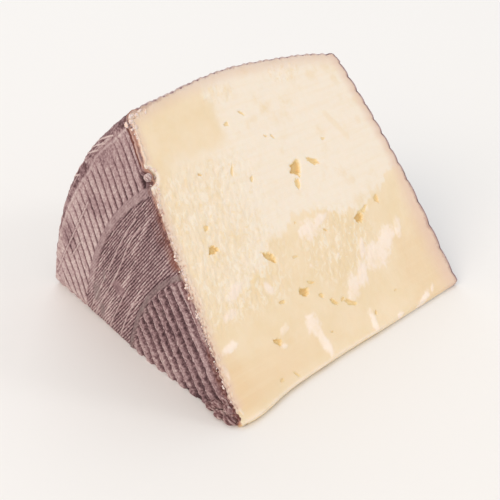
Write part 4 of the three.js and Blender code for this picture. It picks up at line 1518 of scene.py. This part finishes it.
class CHEESE_OT_stage(bpy.types.Operator):
    """Sets up the floor, the soft light and the camera"""
    bl_idname = "cheese.stage"
    bl_label = "Stage"

    def execute(self, context):
        stage = context.scene.cheese_stage
        build_floor(stage)
        build_light(stage)
        build_camera(stage)
        return {"FINISHED"}


class CHEESE_OT_paste(bpy.types.Operator):
    """Builds the paste with both of its knife cuts"""
    bl_idname = "cheese.paste"
    bl_label = "Paste"

    def execute(self, context):
        build_paste(paste_material(context.scene.cheese_paste))
        return {"FINISHED"}


class CHEESE_OT_rind(bpy.types.Operator):
    """Builds the rind of both flat faces and of the side, and its knobs"""
    bl_idname = "cheese.rind"
    bl_label = "Rind"

    def execute(self, context):
        settings = context.scene.cheese_rind
        material = rind_material(settings)
        # Quads of the skin, quads of its hidden back, and how far the back is drawn in
        skins = (
            ("rind_near_disc", disc_skin(NEAR), (270, 270), (24, 24), 1.8),
            ("rind_near_rings", rings_skin(NEAR), (330, 270), (70, 40), 1.4),
            ("rind_far_disc", disc_skin(FAR), (130, 130), (20, 20), 1.8),
            ("rind_far_rings", rings_skin(FAR), (240, 200), (60, 36), 1.4),
            ("rind_side", side_skin_of, (260, 240), (40, 40), 1.4),
        )
        for name, skin_of, size, back_size, margin in skins:
            build_skin(name, skin_of, size, back_size, margin, settings.wall / MM, material)
        build_rind_lumps(material)
        return {"FINISHED"}


class CHEESE_OT_crumbs(bpy.types.Operator):
    """Builds the crumbs along the near edge of the upper cut"""
    bl_idname = "cheese.crumbs"
    bl_label = "Crumbs"

    def execute(self, context):
        settings = context.scene.cheese_crumbs
        build_crumbs(crumb_material(context.scene.cheese_paste), settings.count, settings.size / MM)
        return {"FINISHED"}


class CHEESE_PT_panel(bpy.types.Panel):
    """Lists the pieces of the wedge and their settings"""
    bl_label = "Cheese wedge"
    bl_idname = "CHEESE_PT_panel"
    bl_space_type = "VIEW_3D"
    bl_region_type = "UI"
    bl_category = "Cheese"

    def draw(self, context):
        layout = self.layout
        for operator in OPERATORS:
            layout.operator(operator.bl_idname)
        for group in GROUPS:
            settings = getattr(context.scene, group)
            for name in settings.bl_rna.properties.keys():
                if name not in ("name", "rna_type"):
                    layout.prop(settings, name)


# Stage

CAMERA_AZIMUTH = math.radians(-45.8155)
CAMERA_ELEVATION = math.radians(29.1711)
CAMERA_ROLL = math.radians(1.906)
CAMERA_DISTANCE = 299.85
CAMERA_TARGET = (42.75, 42.75, 23.75)
# Place of the target and of the lens axis in the picture, in pixels of 500
TARGET_PIXEL = (3.6145, 7.5015)
AXIS_PIXEL = (-13.5355, -10.917)
PICTURE = 500
SENSOR = 36.0


def build_camera(stage):
    """The camera at the photograph's angle and distance"""
    a, e = CAMERA_AZIMUTH, CAMERA_ELEVATION
    back = Vector((math.sin(a) * math.cos(e), -math.cos(a) * math.cos(e), math.sin(e)))
    right = Vector((math.cos(a), math.sin(a), 0))
    up = back.cross(right)
    rolled = right * math.cos(CAMERA_ROLL) + up * math.sin(CAMERA_ROLL)
    upright = up * math.cos(CAMERA_ROLL) - right * math.sin(CAMERA_ROLL)
    pixels = stage.lens / SENSOR * PICTURE
    shift = (rolled * TARGET_PIXEL[0] - upright * TARGET_PIXEL[1]) * CAMERA_DISTANCE / pixels
    place = Vector(CAMERA_TARGET) + back * CAMERA_DISTANCE - shift - Vector((MIDDLE_X, MIDDLE_Y, 0))
    data = bpy.data.cameras.new("camera")
    data.lens = stage.lens
    data.sensor_width = SENSOR
    data.shift_x = -AXIS_PIXEL[0] / PICTURE
    data.shift_y = AXIS_PIXEL[1] / PICTURE
    data.clip_start = 0.01
    camera = bpy.data.objects.new("camera", data)
    bpy.context.scene.collection.objects.link(camera)
    turn = Matrix((rolled, upright, back)).transposed().to_4x4()
    camera.matrix_world = Matrix.Translation(place * MM) @ turn
    bpy.context.scene.camera = camera


def build_floor(stage):
    """A pale floor, laid as a few quads and wide enough for any view"""
    bm = bmesh.new()
    bmesh.ops.create_grid(bm, x_segments=8, y_segments=8, size=4)
    mesh = bpy.data.meshes.new("floor")
    bm.to_mesh(mesh)
    bm.free()
    material = new_material("matt_paper")
    shader = add_node(material, "ShaderNodeBsdfPrincipled", inputs={
        "Base Color": (*stage.floor, 1), "Roughness": 0.9, "Specular IOR Level": 0.1})
    add_node(material, "ShaderNodeOutputMaterial", inputs={"Surface": shader})
    mesh.materials.append(material)
    floor = bpy.data.objects.new("floor", mesh)
    bpy.context.scene.collection.objects.link(floor)


def build_light(stage):
    """A white room, a small lamp that glints off the upper cut and a broad warm one on the left"""
    world = bpy.data.worlds.new("room")
    world.use_nodes = True
    background = world.node_tree.nodes["Background"]
    background.inputs["Color"].default_value = (0.985, 0.995, 1, 1)
    background.inputs["Strength"].default_value = stage.sky
    bpy.context.scene.world = world
    add_lamp("lamp", stage.lamp, 1.2, (3.1, -3.15, 2.3), (1, 1, 1))
    add_lamp("fill_lamp", stage.fill, 3.5, (-4.0, -0.7, 2.7), (1, 0.86, 0.73))
    add_lamp("back_lamp", stage.back, 2.5, (1.3, 2.15, 2.45), (0.82, 0.91, 1))
    bpy.context.scene.view_settings.view_transform = "Standard"


def add_lamp(name, power, size, place, colour):
    data = bpy.data.lights.new(name, "AREA")
    data.shape = "SQUARE"
    data.size = size
    data.energy = power
    data.color = colour
    lamp = bpy.data.objects.new(name, data)
    bpy.context.scene.collection.objects.link(lamp)
    place = Vector(place)
    lamp.matrix_world = Matrix.Translation(place) @ place.to_track_quat("Z", "Y").to_matrix().to_4x4()


GROUPS = {
    "cheese_rind": CheeseRind,
    "cheese_paste": CheesePaste,
    "cheese_crumbs": CheeseCrumbs,
    "cheese_stage": CheeseStage,
}
OPERATORS = (CHEESE_OT_stage, CHEESE_OT_paste, CHEESE_OT_rind, CHEESE_OT_crumbs)


def register():
    for cls in (*GROUPS.values(), *OPERATORS, CHEESE_PT_panel):
        bpy.utils.register_class(cls)
    for name, group in GROUPS.items():
        setattr(bpy.types.Scene, name, bpy.props.PointerProperty(type=group))


def unregister():
    for name in GROUPS:
        delattr(bpy.types.Scene, name)
    for cls in reversed((*GROUPS.values(), *OPERATORS, CHEESE_PT_panel)):
        bpy.utils.unregister_class(cls)


def main():
    register()
    bpy.ops.cheese.stage()
    bpy.ops.cheese.paste()
    bpy.ops.cheese.rind()
    bpy.ops.cheese.crumbs()


if __name__ == "__main__":
    main()
